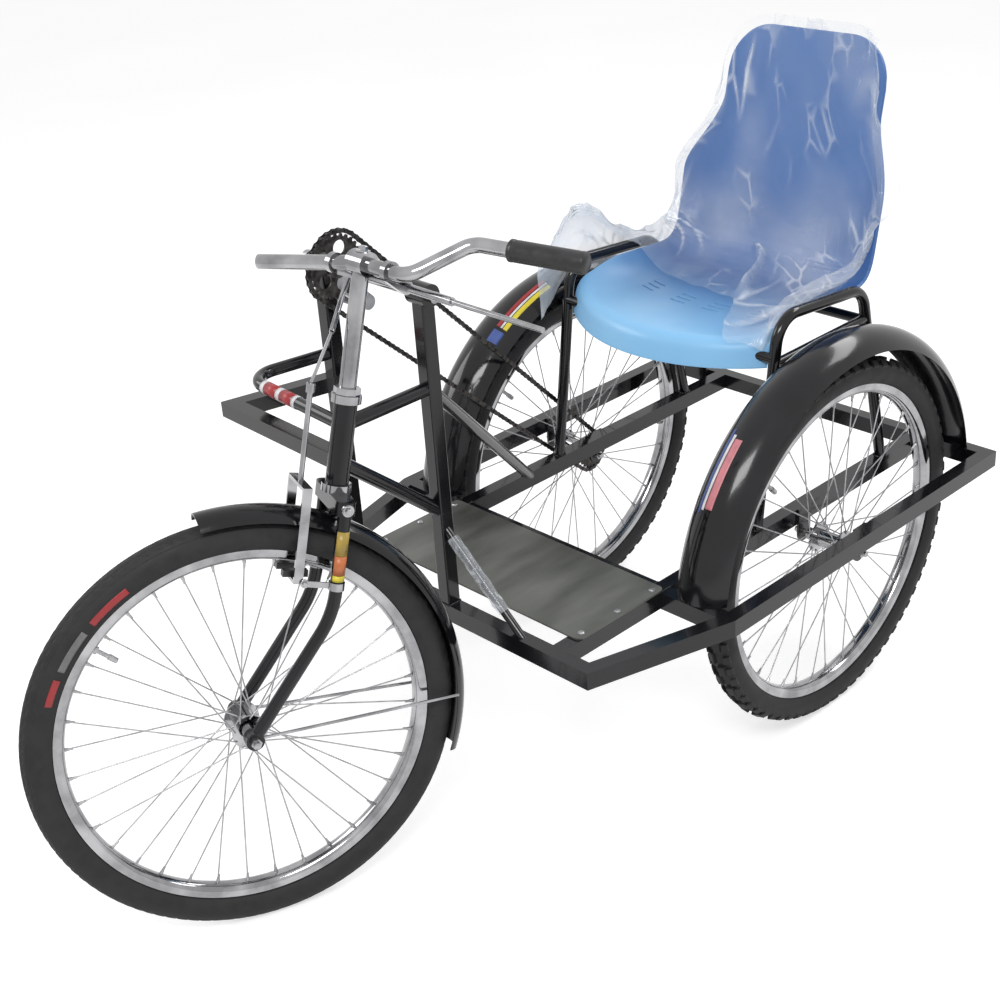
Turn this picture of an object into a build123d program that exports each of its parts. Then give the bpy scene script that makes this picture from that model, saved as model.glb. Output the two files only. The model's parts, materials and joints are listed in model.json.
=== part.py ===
from build123d import *
import copy
import math
import os

# A hand-cranked tricycle. Millimetres, +Z up, floor at Z = 0. It is drawn with the rear axle line at Y = 0.
# The front faces -Y, and the rider's left is +X.

# Wheels: three 26 inch wire wheels
WHEEL_R = 330.0
TYRE_WIDTH = 48.0
TYRE_DEPTH = 52.0
LUG_COUNT = 44
LUG_H = 6.0
LUG_LENGTH = 24.0
LUG_INNER_X = 1.5
LUG_OUTER_X = 19.0
LUG_SLOPE = 0.28
CARCASS_SHOULDER_X = 20.5
RIM_EDGE_R = 286.0
RIM_WIDTH = 30.0
RIM_DEPTH = 20.0
RIM_WALL = 4.0
RIM_WELL = 7.0
SPOKE_COUNT = 36
SPOKE_R = 1.1
SPOKE_CROSS_DEG = 42.0
SPOKE_LACE_STEP = 2.4
SPOKE_HOLE_IN = 4.0
SPOKE_RIM_X = 2.0
HUB_FLANGE_R = 27.0
HUB_FLANGE_T = 3.0
HUB_HALF = 24.0
HUB_END_REAR = 18.0
HUB_END_FRONT = 10.0
HUB_BARREL_R = 15.0
HUB_END_R = 11.0
AXLE_R = 5.0
AXLE_END = 6.0
SEAT_GAP = 0.2
RUN_FIT = 0.05

# Floor frame of square tube
RAIL_W = 25.0
RAIL_H = 30.0
RAIL_TOP = 379.0
INNER_X = 233.0
OUTER_X = 377.0
FRONT_HALF = 305.0
FRONT_Y = -614.0
CROSS_Y = -368.0
REAR_Y = 378.0
BOARD_T = 3.0
BOARD_FRONT_Y = -570.0
BOARD_CORNER_R = 12.0
DROPOUT_T = 4.0
DROPOUT_W = 34.0
NUT_R = 8.5
NUT_T = 8.0

# Posts, head tube and braces
POST_W = 25.0
POST_CORNER_R = 3.0
CRANK_Z = 905.0
BEARING_R = 18.0
BEARING_LENGTH = 38.0
CRANK_AXLE_R = 9.0
HEAD_RAKE_DEG = 16.0
CROWN_Z = 660.0
CROWN_Y = -812.0
HEAD_TUBE_R = 17.5
HEAD_TUBE_BORE_R = 15.0
HEAD_TUBE_LENGTH = 122.0
CUP_R = 22.5
CUP_H = 12.0
STEERER_R = 12.7
MAIN_TUBE_R = 11.0
TOP_TUBE_Z = 755.0
DOWN_TUBE_HEAD_Z = 702.0
DOWN_TUBE_POST_Z = 542.0
HOOP_R = 10.0
HOOP_Z = 755.0
HOOP_CORNER = (-258.0, -767.0)
HOOP_BEND_R = 42.0
TRAY_Z = 705.0
TRAY_CORNER = (-274.0, -789.0)
STRUT_R = 7.0
STRUT_POST_Z = 520.0
STRUT_FOOT_X = 180.0
CHAIN_STRUT_R = 10.0
CHAIN_STRUT_POST_Z = 751.0
CHAIN_STRUT_RAIL_Y = -195.0

# Fork, steering and brake. The wheel is turned to the right as it stands.
STEER_DEG = -22.0
FORK_OFFSET = 100.0
BLADE_X = 50.0
BLADE_R = 10.0
FORK_TIP_R = 14.0
BLADE_STRAIGHT = 175.0
BLADE_BEND_R = 150.0
CROWN_T = 22.0
CROWN_DEPTH = 30.0
STEM_LENGTH = 336.0
NUT_GAP = 0.3
LOCK_NUT_R = 20.0
LOCK_NUT_H = 10.0
CLAMP_R = 18.0
CLAMP_H = 34.0
BAR_R = 11.0
BAR_STUB = (-155.0, -785.0, 972.0)
BAR_ELBOW = (88.0, -713.0, 979.0)
BAR_SHOULDER = (135.0, -628.0, 1012.0)
BAR_END = (300.0, -580.0, 1004.0)
BAR_BEND_R = 36.0
BAR_CLAMP_BEND_R = 60.0
GRIP_CAP = 5.0
GRIP_R = 16.0
GRIP_LENGTH = 118.0
LEVER_R = 6.5
LEVER_THIN_R = 4.0
LEVER_Y = -690.0
LEVER_Z = 950.0
LEVER_START_X = -66.0
LEVER_STEP_X = 153.0
LEVER_END_X = 326.0
LEVER_LUG_T = 10.0
LEVER_LUG_WALL = 4.0
STIRRUP_F = 55.0
STIRRUP_X = 37.0
STIRRUP_T = 5.0
STIRRUP_W = 14.0
STIRRUP_TOP = 14.0
SHOE_GAP = 3.0
SHOE_INNER_X = 11.0
SHOE = (12.0, 38.0, 10.0)
ROD_R = 4.0
ROD_THIN_R = 2.5
ROD_JOINT_UP = 160.0
ROD_JOINT_H = 14.0
ROD_JOINT_R = 6.5
ROD_TOP_UP = 235.0
ROD_TOP_F = 33.0
LEVER_LUG_XS = (-40.0, 55.0)

# Mudguards
GUARD_CLEAR = 53.0
GUARD_HALF = 50.0
GUARD_DROP = 32.0
GUARD_T = 2.0
FRONT_GUARD_CLEAR = 20.0
FRONT_GUARD_HALF = 31.0
FRONT_GUARD_DROP = 20.0
FRONT_GUARD_FROM = -24.0
FRONT_GUARD_TO = 92.0
GUARD_BOSS_R = 7.0
STAY_R = 2.5
STAY_DEG = -7.0

# Crank, chainwheel and chain
PITCH = 12.7
RING_TEETH = 28
COG_TEETH = 18
TOOTH_H = 4.0
RING_T = 3.0
RING_HUB_R = 18.0
RING_BAND = 6.0
RING_WINDOWS = 5
RING_X = -200.0
COG_X = -262.0
CHAIN_W = 8.0
CHAIN_H = 8.0
CHAIN_INNER_W = 5.0
CHAIN_INNER_H = 5.0
CHAIN_PLATE_END = 3.0
CHAIN_GAP = 0.8
CRANK_ARM = 150.0
CRANK_ARM_DEG = -45.0
CRANK_ARM_T = 10.0
CRANK_ARM_W = 26.0
ARM_GAP = 10.0
HANDLE_GAP = 1.0
HANDLE_END_R = 11.0
HANDLE_CAP_R = 9.0
HANDLE_CAP_T = 4.0
HANDLE_R = 14.0
HANDLE_LENGTH = 105.0
HANDLE_PIN_R = 6.0

# Seat and armrests
ARM_TUBE_R = 10.0
ARM_FRONT_FOOT_Y = -115.0
ARM_FRONT_TOP = (-62.0, 746.0)
ARM_REAR_TOP = (172.0, 726.0)
ARM_REAR_FOOT_Y = 250.0
ARM_BEND_R = 48.0
ARM_BAR_Z = 668.0
ARM_BAR_R = 8.0
SEAT_T = 5.0
SEAT_FLAT_HALF = 135.0
SEAT_SIDE_GAP = 5.0
SEAT_RISE = 36.0
SEAT_LIP = (-158.0, 655.0)
SEAT_FRONT = (-142.0, 700.0)
SEAT_REAR = (240.0, 680.0)
SEAT_TOP = (338.0, 1120.0)
SEAT_LIP_R = 26.0
SEAT_BACK_R = 95.0
SEAT_WAIST_Z = 840.0
SEAT_SHOULDER_Z = 985.0
SEAT_TOP_HALF = 168.0
SEAT_WAIST_R = 120.0
SEAT_TOP_CORNER_R = 85.0
SEAT_NOSE_Y = -176.0
SEAT_CORNER_Y = -70.0
SEAT_TRIM = 12.0
SEAT_BAR_R = 9.0
SEAT_RAIL_X = 105.0
SEAT_RAIL_W = 25.0
SEAT_RAIL_T = 8.0

# Values worked out from those above
RAIL_BOTTOM = RAIL_TOP - RAIL_H
WHEEL_X = (INNER_X + OUTER_X) / 2
TYRE_CENTRE_R = WHEEL_R - TYRE_DEPTH / 2
RIM_INNER_R = RIM_EDGE_R - RIM_DEPTH
AXLE_Z = WHEEL_R
GUARD_R = WHEEL_R + GUARD_CLEAR
FRONT_GUARD_R = WHEEL_R + FRONT_GUARD_CLEAR
SEAT_HALF = INNER_X - ARM_TUBE_R - SEAT_SIDE_GAP
RAKE = math.radians(HEAD_RAKE_DEG)
STEER = math.radians(STEER_DEG)
HEAD_UP = Vector(0, math.sin(RAKE), math.cos(RAKE))
HEAD_FORWARD = Vector(0, -math.cos(RAKE), math.sin(RAKE))
CROWN = Vector(0, CROWN_Y, CROWN_Z)
HEAD_AXIS = Axis(CROWN, HEAD_UP)
LEAN = math.asin(math.sin(RAKE) * math.sin(abs(STEER)))
FRONT_AXLE_Z = TYRE_CENTRE_R * math.cos(LEAN) + math.hypot(
    TYRE_WIDTH / 2 * math.sin(LEAN), TYRE_DEPTH / 2 * math.cos(LEAN))
FORK_DROP = (CROWN_Z - FRONT_AXLE_Z + FORK_OFFSET * math.cos(STEER) * math.sin(RAKE)) / math.cos(RAKE)
RING_R = PITCH / 2 / math.sin(math.pi / RING_TEETH)
COG_R = PITCH / 2 / math.sin(math.pi / COG_TEETH)


def box_between(x, y, z):
    """A block from a low and a high value on each axis."""
    centre = Pos((x[0] + x[1]) / 2, (y[0] + y[1]) / 2, (z[0] + z[1]) / 2)
    return centre * Box(x[1] - x[0], y[1] - y[0], z[1] - z[0])


def rod(start, end, radius):
    """A straight round bar from one point to another."""
    a = Vector(*start)
    b = Vector(*end)
    return extrude(Plane(origin=a, z_dir=b - a) * Circle(radius), amount=(b - a).length)


def bent_rod(points, bends, radius):
    """A round bar along straight runs joined by arcs."""
    path = FilletPolyline(*points, radius=bends)
    return sweep(Plane(origin=path @ 0, z_dir=path % 0) * Circle(radius), path=path)


def mitred_bar(points, width, low, high):
    """A square tube laid flat along points in plan, with mitred corners."""
    count = len(points)
    left = []
    right = []
    for k in range(count):
        before = Vector(*points[max(k - 1, 0)], 0)
        here = Vector(*points[k], 0)
        after = Vector(*points[min(k + 1, count - 1)], 0)
        directions = [v.normalized() for v in (here - before, after - here) if v.length > 0]
        mean = (directions[0] + directions[-1]).normalized()
        side = Vector(-mean.Y, mean.X, 0)
        half = width / 2 / mean.dot(directions[0])
        left.append(tuple(here + side * half)[:2])
        right.append(tuple(here - side * half)[:2])
    outline = make_face(Polyline(*left, *reversed(right), close=True))
    return extrude(Pos(0, 0, low) * outline, amount=high - low)


def head_point(up, forward, side=0.0):
    """A point of the steered assembly before it is turned, from the crown along the head axis."""
    return CROWN + HEAD_UP * up + HEAD_FORWARD * forward + Vector(side, 0, 0)


def turned(shape):
    """The steered assembly turned to where it stands."""
    return shape.rotate(HEAD_AXIS, STEER_DEG)


def head_y(z):
    """Where the head axis is at a height."""
    return CROWN_Y + (z - CROWN_Z) * math.tan(RAKE)


def around_axle(section, arc=360.0):
    """A section in the XZ plane turned about the X axis."""
    return revolve(Plane.XZ * section, axis=Axis.X, revolution_arc=arc)


def tyre():
    """A smooth tyre down to its rim."""
    section = Pos(0, TYRE_CENTRE_R) * Ellipse(TYRE_WIDTH / 2, TYRE_DEPTH / 2)
    below = Pos(0, RIM_EDGE_R + SEAT_GAP - TYRE_DEPTH / 2) * Rectangle(TYRE_WIDTH * 2, TYRE_DEPTH)
    return around_axle(section - below)


def lugged_tyre():
    """A carcass with lugs out to the full outline, on the left and right of its crown in turn."""
    foot_r = RIM_EDGE_R + SEAT_GAP
    foot_x = TYRE_WIDTH / 2 * math.sqrt(1 - ((foot_r - TYRE_CENTRE_R) / (TYRE_DEPTH / 2)) ** 2)
    crown_r = WHEEL_R - LUG_H
    wall = [
        (foot_x, foot_r),
        (TYRE_WIDTH / 2, TYRE_CENTRE_R),
        (CARCASS_SHOULDER_X, crown_r - CARCASS_SHOULDER_X * LUG_SLOPE),
        (0.0, crown_r),
    ]
    carcass = around_axle(make_face(Polyline(*wall, *[(-x, r) for x, r in reversed(wall[:-1])], close=True)))
    lug_edges = [
        (LUG_INNER_X, WHEEL_R),
        (LUG_OUTER_X, WHEEL_R - (LUG_OUTER_X - LUG_INNER_X) * LUG_SLOPE),
        (LUG_OUTER_X, crown_r - LUG_OUTER_X * LUG_SLOPE - LUG_H),
        (LUG_INNER_X, crown_r - LUG_H),
    ]
    arc = math.degrees(LUG_LENGTH / WHEEL_R)
    lugs = []
    for side in (1, -1):
        section = make_face(Polyline(*[(side * x, r) for x, r in lug_edges], close=True))
        lug = around_axle(section, arc).rotate(Axis.X, -arc / 2)
        for k in range(0 if side > 0 else 1, LUG_COUNT, 2):
            lugs.append(lug.rotate(Axis.X, 360.0 * k / LUG_COUNT))
    return carcass.fuse(*lugs)


def rim():
    half = RIM_WIDTH / 2
    shoulder = RIM_EDGE_R - RIM_DEPTH * 0.45
    outline = [
        Line((-half, shoulder), (-half, RIM_EDGE_R)),
        Line((-half, RIM_EDGE_R), (-half + RIM_WALL, RIM_EDGE_R)),
        Line((-half + RIM_WALL, RIM_EDGE_R), (-half + RIM_WALL, RIM_EDGE_R - RIM_WELL)),
        Line((-half + RIM_WALL, RIM_EDGE_R - RIM_WELL), (half - RIM_WALL, RIM_EDGE_R - RIM_WELL)),
        Line((half - RIM_WALL, RIM_EDGE_R - RIM_WELL), (half - RIM_WALL, RIM_EDGE_R)),
        Line((half - RIM_WALL, RIM_EDGE_R), (half, RIM_EDGE_R)),
        Line((half, RIM_EDGE_R), (half, shoulder)),
        ThreePointArc((half, shoulder), (0, RIM_INNER_R), (-half, shoulder)),
    ]
    return around_axle(make_face(outline))


def hub(end_length):
    """A barrel between two spoke flanges, bored for its axle."""
    bore = AXLE_R + RUN_FIT
    flange_out = HUB_HALF + HUB_FLANGE_T
    steps = [
        (-flange_out - end_length, bore), (-flange_out - end_length, HUB_END_R), (-flange_out, HUB_END_R),
        (-flange_out, HUB_FLANGE_R), (-HUB_HALF, HUB_FLANGE_R), (-HUB_HALF, HUB_BARREL_R),
    ]
    mirrored = [(-x, r) for x, r in reversed(steps)]
    return around_axle(make_face(Polyline(*steps, *mirrored, close=True)))


def spokes():
    """Spokes that leave each flange on its two faces, leaning forward and back in turn."""
    pieces = []
    start_r = HUB_FLANGE_R - SPOKE_HOLE_IN
    end_r = RIM_INNER_R - SEAT_GAP
    for k in range(SPOKE_COUNT):
        side = 1 if k % 2 else -1
        lean = 1 if (k // 2) % 2 else -1
        rim_deg = 360.0 * k / SPOKE_COUNT
        hub_deg = rim_deg + lean * SPOKE_CROSS_DEG
        flange_x = HUB_HALF + HUB_FLANGE_T / 2 + lean * (HUB_FLANGE_T / 2 + SPOKE_LACE_STEP - SPOKE_R)
        start = Vector(side * flange_x, 0, start_r).rotate(Axis.X, hub_deg)
        end = Vector(side * SPOKE_RIM_X, 0, end_r).rotate(Axis.X, rim_deg)
        pieces.append(rod(tuple(start), tuple(end), SPOKE_R))
    return Compound(children=pieces)


def axle(half_length, nut_from):
    """An axle along X with a nut outside each dropout."""
    solid = Rot(0, 90, 0) * Cylinder(AXLE_R, half_length * 2)
    nut = extrude(Plane.YZ * RegularPolygon(NUT_R, 6), amount=NUT_T)
    return solid + Pos(nut_from, 0, 0) * nut + Pos(-nut_from - NUT_T, 0, 0) * nut


def toothed_disc(teeth, pitch_r, thickness):
    """A sprocket blank whose flat-topped teeth stand under the chain."""
    tip = pitch_r - CHAIN_H / 2 - CHAIN_GAP
    root = tip - TOOTH_H
    points = []
    for k in range(teeth):
        for share, radius in ((0.0, root), (0.22, root), (0.42, tip), (0.72, tip), (0.92, root)):
            angle = 2 * math.pi * (k + share) / teeth
            points.append((radius * math.cos(angle), radius * math.sin(angle)))
    outline = make_face(Polyline(*points, close=True))
    return extrude(Plane.YZ * outline, amount=thickness / 2, both=True), root


def guard_section(radius, half, drop, thickness):
    """An arched mudguard section."""
    outer = ThreePointArc((-half, radius - drop), (0, radius), (half, radius - drop))
    inner = ThreePointArc(
        (half - thickness, radius - drop), (0, radius - thickness), (-half + thickness, radius - drop))
    edges = [
        outer,
        Line(outer @ 1, inner @ 0),
        inner,
        Line(inner @ 1, outer @ 0),
    ]
    return make_face(edges)


nodes = {}

# Floor frame
rail_low_high = (RAIL_BOTTOM, RAIL_TOP)
half_w = RAIL_W / 2
for name, side in (("left", 1), ("right", -1)):
    outer_path = [
        (side * OUTER_X, REAR_Y - half_w),
        (side * OUTER_X, CROSS_Y),
        (side * FRONT_HALF, FRONT_Y),
    ]
    bar_zone = box_between((-OUTER_X, OUTER_X), (FRONT_Y - RAIL_W * 2, FRONT_Y + half_w), (0, RAIL_TOP * 2))
    nodes["rail_outer_" + name] = mitred_bar(outer_path, RAIL_W, *rail_low_high) - bar_zone
    inner_x = (side * INNER_X - half_w, side * INNER_X + half_w)
    nodes["rail_inner_" + name] = box_between(inner_x, (FRONT_Y + half_w, REAR_Y - half_w), rail_low_high)

front_slope = (OUTER_X - FRONT_HALF) / (CROSS_Y - FRONT_Y)
front_reach = FRONT_HALF + half_w * math.hypot(1, front_slope)
front_outline = make_face(Polyline(
    (-front_reach + half_w * front_slope, FRONT_Y - half_w),
    (front_reach - half_w * front_slope, FRONT_Y - half_w),
    (front_reach + half_w * front_slope, FRONT_Y + half_w),
    (-front_reach - half_w * front_slope, FRONT_Y + half_w),
    close=True))
nodes["front_bar"] = extrude(Pos(0, 0, RAIL_BOTTOM) * front_outline, amount=RAIL_H)
rear_reach = OUTER_X + half_w
nodes["rear_bar"] = box_between((-rear_reach, rear_reach), (REAR_Y - half_w, REAR_Y + half_w), rail_low_high)

cross_y = (CROSS_Y - half_w, CROSS_Y + half_w)
cross_spans = [(-INNER_X + half_w, INNER_X - half_w)]
for side in (1, -1):
    cross_spans.append(tuple(sorted((side * (INNER_X + half_w), side * (OUTER_X - half_w)))))
outer_rails = nodes["rail_outer_left"] + nodes["rail_outer_right"]
nodes["cross_member"] = Compound(children=[
    box_between(span, cross_y, rail_low_high) - outer_rails for span in cross_spans])

board_reach = INNER_X + half_w
board = Rectangle(board_reach * 2, CROSS_Y - BOARD_FRONT_Y)
board = fillet(board.vertices(), BOARD_CORNER_R)
nodes["footboard"] = extrude(Pos(0, (CROSS_Y + BOARD_FRONT_Y) / 2, RAIL_TOP) * board, amount=BOARD_T)

# Posts, with the crank bearings lying across their tops
post_section = fillet(Rectangle(POST_W, POST_W).vertices(), POST_CORNER_R)
bearing_bore = CRANK_AXLE_R + RUN_FIT
bearings = []
for name, x in (("centre_post", 0.0), ("right_post", -INNER_X)):
    post = extrude(Pos(x, FRONT_Y, RAIL_TOP) * post_section, amount=CRANK_Z - RAIL_TOP)
    across = Pos(x, FRONT_Y, CRANK_Z) * Rot(0, 90, 0)
    nodes[name] = post - across * Cylinder(BEARING_R, POST_W * 2)
    bearings.append(across * (Cylinder(BEARING_R, BEARING_LENGTH) - Cylinder(bearing_bore, BEARING_LENGTH)))
nodes["crank_bearings"] = Compound(children=bearings)

# Head tube, cups and the tubes that carry them
lower_head = CUP_H
upper_head = CUP_H + HEAD_TUBE_LENGTH
head_plane = Plane(origin=CROWN, x_dir=(1, 0, 0), z_dir=HEAD_UP)
head_ring = Circle(HEAD_TUBE_R) - Circle(HEAD_TUBE_BORE_R)
cup_ring = Circle(CUP_R) - Circle(STEERER_R + RUN_FIT)
nodes["head_tube"] = extrude(head_plane.offset(lower_head) * head_ring, amount=HEAD_TUBE_LENGTH)
nodes["headset_cups"] = Compound(children=[
    extrude(head_plane.offset(RUN_FIT) * cup_ring, amount=CUP_H - RUN_FIT),
    extrude(head_plane.offset(upper_head) * cup_ring, amount=CUP_H),
])
head_body = extrude(head_plane * Circle(HEAD_TUBE_R), amount=upper_head + CUP_H)
post_front = FRONT_Y - POST_W / 2
top_tube = rod((0, head_y(TOP_TUBE_Z), TOP_TUBE_Z), (0, post_front, TOP_TUBE_Z), MAIN_TUBE_R)
nodes["top_tube"] = top_tube - head_body
down_start = (0, head_y(DOWN_TUBE_HEAD_Z), DOWN_TUBE_HEAD_Z)
down_tube = rod(down_start, (0, FRONT_Y, DOWN_TUBE_POST_Z), MAIN_TUBE_R)
nodes["down_tube"] = down_tube - head_body - nodes["centre_post"]

# Round hoop and square tray rail, from the head tube round to the right post
right_post_front = (-INNER_X, post_front)
hoop_points = [
    (*right_post_front, HOOP_Z),
    (*HOOP_CORNER, HOOP_Z),
    (0, head_y(HOOP_Z), HOOP_Z),
]
nodes["hoop_brace"] = bent_rod(hoop_points, [HOOP_BEND_R], HOOP_R) - head_body - nodes["right_post"]
tray_points = [(-INNER_X, FRONT_Y), TRAY_CORNER, (0, head_y(TRAY_Z))]
tray = mitred_bar(tray_points, POST_W, TRAY_Z - POST_W / 2, TRAY_Z + POST_W / 2)
nodes["tray_rail"] = tray - head_body - nodes["right_post"] - nodes["down_tube"]

# Struts
post_face = POST_W / 2
strut = rod((0, FRONT_Y, STRUT_POST_Z), (STRUT_FOOT_X, FRONT_Y, RAIL_TOP - RAIL_H / 2), STRUT_R)
nodes["post_strut"] = strut - nodes["centre_post"] - nodes["front_bar"]
chain_strut = rod(
    (0, FRONT_Y, CHAIN_STRUT_POST_Z), (-INNER_X, CHAIN_STRUT_RAIL_Y, RAIL_TOP - RAIL_H / 2), CHAIN_STRUT_R)
nodes["chain_side_strut"] = chain_strut - nodes["centre_post"] - nodes["rail_inner_right"]

# Rear wheels, each between two dropout plates
inner_plate_x = INNER_X + half_w
outer_plate_x = OUTER_X - half_w
plate_outline = SlotCenterToCenter(RAIL_TOP - AXLE_Z, DROPOUT_W, rotation=90)
plate_hole = Pos(0, (AXLE_Z - RAIL_TOP) / 2) * Circle(AXLE_R + RUN_FIT)
plate_face = Pos(0, (AXLE_Z + RAIL_TOP) / 2) * (plate_outline - plate_hole)
rear_tyre = lugged_tyre()
above_rail = box_between((-OUTER_X, OUTER_X), (-DROPOUT_W, DROPOUT_W), (RAIL_TOP, RAIL_TOP * 2))
rear_axle_half = (outer_plate_x - inner_plate_x) / 2 + NUT_T + AXLE_END
guard_clear = box_between((-OUTER_X, OUTER_X), (-GUARD_R * 2, GUARD_R * 2), (-RAIL_TOP, RAIL_TOP + SEAT_GAP))
for name, side in (("left", 1), ("right", -1)):
    wheel_at = Pos(side * WHEEL_X, 0, AXLE_Z)
    nodes["tyre_" + name] = wheel_at * rear_tyre
    nodes["rim_" + name] = wheel_at * rim()
    nodes["spokes_" + name] = wheel_at * spokes()
    nodes["hub_" + name] = wheel_at * hub(HUB_END_REAR)
    nodes["axle_" + name] = wheel_at * axle(rear_axle_half, (outer_plate_x - inner_plate_x) / 2)
    plates = []
    for low in (inner_plate_x, outer_plate_x - DROPOUT_T):
        plate_x = low if side > 0 else -low - DROPOUT_T
        plates.append(extrude(Plane.YZ.offset(plate_x) * plate_face, amount=DROPOUT_T) - above_rail)
    nodes["dropouts_" + name] = Compound(children=plates)
    guard = around_axle(guard_section(GUARD_R, GUARD_HALF, GUARD_DROP, GUARD_T))
    nodes["mudguard_" + name] = wheel_at * guard - guard_clear

# Front wheel, fork and front mudguard, made straight ahead and then turned
front_axle_at = head_point(-FORK_DROP, FORK_OFFSET)
front_wheel_at = Pos(*front_axle_at)
for name, shape in (("tyre", tyre()), ("rim", rim()), ("spokes", spokes()), ("hub", hub(HUB_END_FRONT))):
    nodes[name + "_front"] = turned(front_wheel_at * shape)
front_axle = front_wheel_at * axle(BLADE_X + BLADE_R + NUT_T + AXLE_END, BLADE_X + BLADE_R)
nodes["axle_front"] = turned(front_axle)

crown = extrude(
    head_plane.offset(-CROWN_T) * fillet(
        Rectangle(BLADE_X * 2 + BLADE_R * 2 + 6, CROWN_DEPTH).vertices(), CROWN_DEPTH / 2 - 0.5),
    amount=CROWN_T)
fork = crown
for side in (1, -1):
    blade_path = FilletPolyline(
        head_point(-CROWN_T / 2, 0, side * BLADE_X),
        head_point(-BLADE_STRAIGHT, 0, side * BLADE_X),
        front_axle_at + Vector(side * BLADE_X, 0, 0),
        radius=BLADE_BEND_R)
    blade_start = Plane(origin=blade_path @ 0, z_dir=blade_path % 0)
    fork += sweep(blade_start * Circle(BLADE_R), path=blade_path)
    tip = Rot(0, 90, 0) * Cylinder(FORK_TIP_R, BLADE_R * 2)
    fork += Pos(*(front_axle_at + Vector(side * BLADE_X, 0, 0))) * tip
guard_axle = front_wheel_at * (Rot(0, 90, 0) * Cylinder(FRONT_GUARD_R + SEAT_GAP, TYRE_WIDTH * 4))
guard_boss = extrude(head_plane * Circle(GUARD_BOSS_R), amount=-BLADE_X) - guard_axle
fork += guard_boss
fork -= front_wheel_at * (Rot(0, 90, 0) * Cylinder(AXLE_R + RUN_FIT, BLADE_X * 4))
steerer_length = upper_head + CUP_H + NUT_GAP + LOCK_NUT_H + CROWN_T / 2
steerer = extrude(head_plane.offset(-CROWN_T / 2) * Circle(STEERER_R), amount=steerer_length)
nodes["fork"] = turned(fork + steerer)

front_section = guard_section(FRONT_GUARD_R, FRONT_GUARD_HALF, FRONT_GUARD_DROP, GUARD_T)
front_guard = around_axle(front_section, FRONT_GUARD_TO - FRONT_GUARD_FROM)
front_guard = front_guard.rotate(Axis.X, -90 + FRONT_GUARD_FROM)
nodes["mudguard_front"] = turned(front_wheel_at * front_guard)

stays = []
for side in (1, -1):
    guard_edge_r = FRONT_GUARD_R - FRONT_GUARD_DROP
    stay_from = Vector(side * BLADE_X, FORK_TIP_R, 0).rotate(Axis.X, STAY_DEG)
    stay_to = Vector(side * (FRONT_GUARD_HALF + STAY_R + SEAT_GAP), guard_edge_r, 0).rotate(Axis.X, STAY_DEG)
    stays.append(rod(tuple(front_axle_at + stay_from), tuple(front_axle_at + stay_to), STAY_R) - fork)
nodes["guard_stays"] = turned(Compound(children=stays))

# Stirrup brake: two legs over the tyre with shoes below the rim, guides on the blades, and a pull rod
rim_reach = FORK_OFFSET - STIRRUP_F + SHOE[1] / 2
shoe_top = math.sqrt((RIM_INNER_R - SHOE_GAP) ** 2 - rim_reach ** 2) - FORK_DROP
leg_forward = (-STIRRUP_F - STIRRUP_W / 2, -STIRRUP_F + STIRRUP_W / 2)
leg_outer = STIRRUP_X + STIRRUP_T / 2
leg_inner = STIRRUP_X - STIRRUP_T / 2
stirrup = box_between((-leg_outer, leg_outer), leg_forward, (STIRRUP_TOP - STIRRUP_T, STIRRUP_TOP))
guides = []
for side in (1, -1):
    leg_x = sorted((side * leg_inner, side * leg_outer))
    foot_x = sorted((side * SHOE_INNER_X, side * leg_outer))
    shoe_x = sorted((side * SHOE_INNER_X, side * (SHOE_INNER_X + SHOE[0])))
    shoe_low = shoe_top - SHOE[2]
    stirrup += box_between(leg_x, leg_forward, (shoe_low - STIRRUP_T, STIRRUP_TOP))
    stirrup += box_between(foot_x, leg_forward, (shoe_low - STIRRUP_T, shoe_low))
    shoe_f = (-STIRRUP_F - SHOE[1] / 2, -STIRRUP_F + SHOE[1] / 2)
    guides.append(box_between(shoe_x, shoe_f, (shoe_low, shoe_top)))
nodes["brake_shoes"] = turned(head_plane.location * Compound(children=guides))
nodes["brake_stirrup"] = turned(head_plane.location * stirrup)

rod_joint = head_point(ROD_JOINT_UP, STIRRUP_F)
rod_top = head_point(ROD_TOP_UP, ROD_TOP_F)
pull_rod = rod(tuple(head_point(STIRRUP_TOP, STIRRUP_F)), tuple(rod_joint), ROD_R)
pull_rod += rod(tuple(rod_joint - HEAD_UP * ROD_JOINT_H), tuple(rod_joint), ROD_JOINT_R)
pull_rod += rod(tuple(rod_joint), tuple(rod_top), ROD_THIN_R)
nodes["brake_rod"] = turned(pull_rod)

# Stem, handlebar, grip and brake lever, as they stand
stem_low = upper_head + CUP_H + NUT_GAP
clamp_centre = head_point(STEM_LENGTH, 0)
bar_path = FilletPolyline(
    BAR_STUB, tuple(clamp_centre), BAR_ELBOW, BAR_SHOULDER, BAR_END,
    radius=[BAR_CLAMP_BEND_R, BAR_BEND_R, BAR_BEND_R])
handlebar = sweep(Plane(origin=bar_path @ 0, z_dir=bar_path % 0) * Circle(BAR_R), path=bar_path)
nodes["handlebar"] = handlebar
nut_ring = RegularPolygon(LOCK_NUT_R, 8) - Circle(STEERER_R)
nodes["headset_nut"] = extrude(head_plane.offset(stem_low) * nut_ring, amount=LOCK_NUT_H)
steerer_top = stem_low + LOCK_NUT_H
stem = extrude(head_plane.offset(steerer_top) * Circle(STEERER_R), amount=STEM_LENGTH - steerer_top)
clamp_plane = Plane(origin=clamp_centre, x_dir=(0, 0, 1), z_dir=(1, 0, 0))
stem += extrude(clamp_plane * Circle(CLAMP_R), amount=CLAMP_H / 2, both=True)
nodes["stem"] = stem - handlebar

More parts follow.
